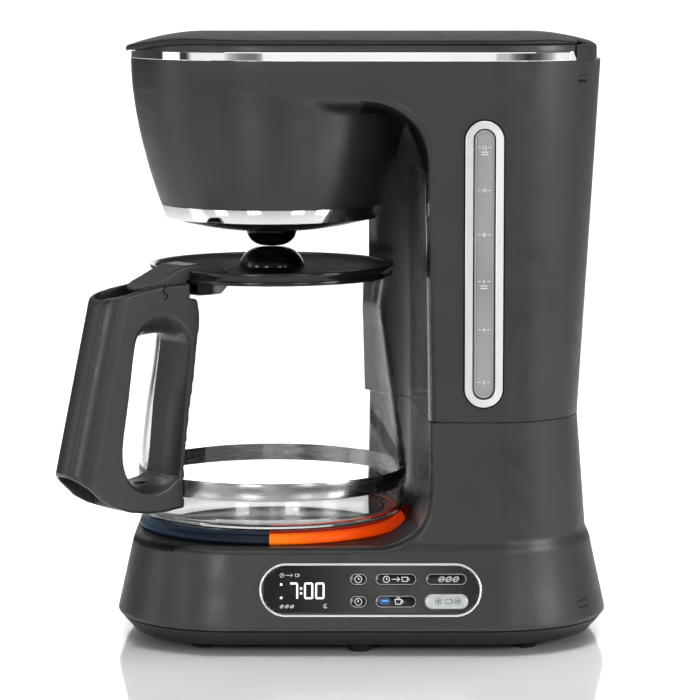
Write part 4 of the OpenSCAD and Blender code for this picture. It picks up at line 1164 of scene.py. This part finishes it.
def handle(x, y, z):
    r, s = turned(x, y)
    # the grip's outer edge is a full round that leans with it
    mid = 111.2 + 0.2506 * (192.8 - z)
    far = r - mid
    out = np.where(far > 0, np.hypot(far / 1.031, s), np.abs(s)) - 14.0
    d = both(poly_sd(r, z, SIDE), out, 1.8)
    inn = np.where(far > 0, np.hypot(far / 1.031, s), np.abs(s)) - 11.2
    g = np.clip((s + 2) / 16, 0, 1) ** 2
    hole = poly_sd(r, z, HOLE_FAR) * (1 - g) + poly_sd(r, z, HOLE_NEAR) * g
    d = both(d, -hole, 1.6)
    d = both(d, -np.maximum(poly_sd(r, z, HOLLOW), inn), 0.6)
    gl = np.hypot(x - AX, y) - np.interp(z, GZ, GR) - 0.35
    band = np.maximum(np.hypot(x - AX, y) - 76.6, np.abs(z - 86.9) - 5.2)
    d = both(d, -np.maximum(np.hypot(s, z - 86.9) - 3.7, np.maximum(88 - r, r - 121)), 0.3)
    return both(d, -np.minimum(gl, band), 0.5)


solid("carafe_handle_shell", handle, (-172, -122, 70), (-76, 2, 206), 1.0, "alcove", "carafe", "carafe_handle")
# painted shade: a dark strip on the handle's near face stands for the shadow in its snap seam
S_CUT = smooth([(86.6, 200.4), (88.6, 196.9), (86.5, 195.5), (85.7, 193.9), (88.0, 192.8)], 4)
V, F = stroke(S_CUT, 0.95, 13.6, 14.06, grip)
build("carafe_handle_snap_line", V, F, "groove", "carafe")


# ---------------------------------------------------------------- stage
def camera():
    cam = bpy.data.cameras.new("camera")
    cam.sensor_width = 36.0
    cam.sensor_height = 36.0
    cam.lens = 3220.0 / 700.0 * 36.0
    cam.clip_start, cam.clip_end = 0.05, 50.0
    ob = bpy.data.objects.new("camera", cam)
    ob.location = (0.00831, -1.81572, 0.3768)
    ob.rotation_euler = (math.radians(83.1), 0, 0)
    bpy.context.scene.collection.objects.link(ob)
    bpy.context.scene.camera = ob


def area(name, loc, target, size, power, color=(1, 1, 1)):
    li = bpy.data.lights.new(name, "AREA")
    li.shape = "RECTANGLE"
    li.size, li.size_y = size
    li.energy = power
    li.color = color
    ob = bpy.data.objects.new(name, li)
    ob.location = loc
    ob.rotation_euler = (Vector(target) - Vector(loc)).to_track_quat("-Z", "Y").to_euler()
    bpy.context.scene.collection.objects.link(ob)
    return ob


def stage():
    floor_mat = Mat("pale_floor", srgb(244, 244, 244), srgb(248, 248, 248), tone_scale=4, rough=0.09, rough_var=0.02, spec=0.5, ior=1.6, metallic=0.22)
    wall_mat = Mat("pale_backdrop", srgb(244, 244, 244), srgb(248, 248, 248), tone_scale=4, rough=0.6, spec=0.2)
    me = bpy.data.meshes.new("floor")
    V, F = [], []
    prof = [(-3.4, 0.0), (1.9, 0.0)]
    for i in range(13):
        a = math.radians(66) * i / 12
        prof.append((1.9 + 0.6 * math.sin(a), 0.6 - 0.6 * math.cos(a)))
    prof.insert(2, prof[1])
    for i, (y, z) in enumerate(prof):
        w = 5.0 if i < 2 else 0.8
        V += [(-w, y, z), (w, y, z)]
    for i in range(len(prof) - 1):
        if i != 1:
            F.append((2 * i, 2 * i + 1, 2 * i + 3, 2 * i + 2))
    me.from_pydata(V, [], F)
    me.polygons.foreach_set("use_smooth", [True] * len(F))
    me.materials.append(floor_mat.m)
    me.materials.append(wall_mat.m)
    me.polygons.foreach_set("material_index", [0 if i == 0 else 1 for i in range(len(F))])
    ob = bpy.data.objects.new("floor", me)
    bpy.context.scene.collection.objects.link(ob)
    w = bpy.data.worlds.new("studio")
    bpy.context.scene.world = w
    w.use_nodes = True
    nt = w.node_tree
    bg = nt.nodes["Background"]
    bg.inputs["Strength"].default_value = 1.0
    # brighter and darker walls round the set, by compass angle from the front, left positive
    sep = nt.nodes.new("ShaderNodeSeparateXYZ")
    nt.links.new(nt.nodes.new("ShaderNodeTexCoord").outputs["Generated"], sep.inputs["Vector"])
    flip = []
    for k in ("X", "Y"):
        m = nt.nodes.new("ShaderNodeMath")
        m.operation = "MULTIPLY"
        m.inputs[1].default_value = -1.0
        nt.links.new(sep.outputs[k], m.inputs[0])
        flip.append(m.outputs[0])
    turn = nt.nodes.new("ShaderNodeMath")
    turn.operation = "ARCTAN2"
    nt.links.new(flip[0], turn.inputs[0])
    nt.links.new(flip[1], turn.inputs[1])
    mr = nt.nodes.new("ShaderNodeMapRange")
    mr.inputs["From Min"].default_value, mr.inputs["From Max"].default_value = -PI, PI
    nt.links.new(turn.outputs[0], mr.inputs["Value"])
    ramp = nt.nodes.new("ShaderNodeValToRGB")
    stops = [(-180, 250), (-166, 150), (-112, 150), (-98, 190), (-90, 165), (-84, 253), (-70, 253), (-62, 172), (-49, 90), (-35, 50), (-22, 117), (-14, 195),
             (-3, 200), (-2, 255), (5.5, 255), (7, 170), (11, 122), (18, 120), (24, 138), (33, 190), (38, 253), (66, 253), (71, 60), (80, 60),
             (83, 204), (93, 204), (97, 55), (124, 66), (166, 92), (176, 250)]
    el = ramp.color_ramp.elements
    while len(el) < len(stops):
        el.new(0.5)
    for e, (a, t) in zip(el, stops):
        e.position = (a + 180) / 360
        e.color = (*srgb(t, t, t), 1)
    nt.links.new(mr.outputs["Result"], ramp.inputs["Fac"])
    up = nt.nodes.new("ShaderNodeMapRange")
    up.inputs["From Min"].default_value, up.inputs["From Max"].default_value = 0.10, 0.26
    nt.links.new(sep.outputs["Z"], up.inputs["Value"])
    mix = nt.nodes.new("ShaderNodeMixRGB")
    nt.links.new(up.outputs["Result"], mix.inputs["Fac"])
    nt.links.new(ramp.outputs["Color"], mix.inputs["Color1"])
    mix.inputs["Color2"].default_value = (0.22, 0.22, 0.22, 1)
    nt.links.new(mix.outputs["Color"], bg.inputs["Color"])
    area("overhead", (0.1, -0.5, 2.3), (0, 0.0, 0), (2.2, 1.6), 15)
    area("front_left", (-0.66, -2.03, 0.702), (0, 0, 0.1), (0.5, 0.36), 6.8)
    area("left_low", (-1.749, -1.224, 0.702), (0, 0, 0.1), (0.5, 0.36), 2.4)
    area("front_right", (1.035, -1.867, 0.702), (0, 0, 0.1), (0.5, 0.36), 4.0)
    area("right_low", (1.867, -1.035, 0.702), (0, 0, 0.1), (0.8, 0.36), 13.0)
    area("left_strip", (-1.5, -0.1, 0.42), (0, 0, 0.25), (0.5, 0.9), 1.6)
    area("right_strip", (1.5, 0.0, 0.42), (0, 0, 0.2), (0.3, 0.9), 0.45)
    top = area("floor_top", (0.0, 0.8, 1.2), (0, 0.8, 0), (0.9, 2.0), 6.6)
    top.data.spread = math.radians(42)
    only = bpy.data.collections.new("floor_only")
    only.objects.link(ob)
    top.light_linking.receiver_collection = only
    area("back_card", (0.0, 2.62, 0.61), (0, 0, 0.45), (1.8, 0.5), 2.7)
    area("panel_glow", (0.07, -2.6, 0.66), (0.02, 0, 0.04), (0.13, 0.34), 0.3)
    area("back_wall", (0.0, 0.9, 1.9), (0, 2.4, 0.1), (3.4, 0.9), 58)
    bpy.context.scene.view_settings.view_transform = "Standard"


stage()
camera()

# nodes that still show take a finish too
SLOT_MAT = {
    "housing_plastic": "housing", "black_plastic": "black", "gloss_black": "gloss", "panel_black": "panel",
    "key_silver": "keysilver", "bright_chrome": "chrome", "band_steel": "steel", "screw_steel": "screw",
    "foot_rubber": "rubber", "plate_coating": "plate", "ring_colour": "ringorange", "element_aluminium": "alu",
    "white_ceramic": "ceramic", "silicone_hose": "hose", "white_plastic": "white", "tank_plastic": "tank",
    "window_plastic": "lens", "display": "display", "board_green": "board", "carafe_glass": "glass",
}
slot_of = {s["node"]: s["material_slot"] for s in frame["record"]["subparts"]}
for name, ob in NODES.items():
    ob.data.materials.clear()
    ob.data.materials.append(M[SLOT_MAT[slot_of[name]]].m)
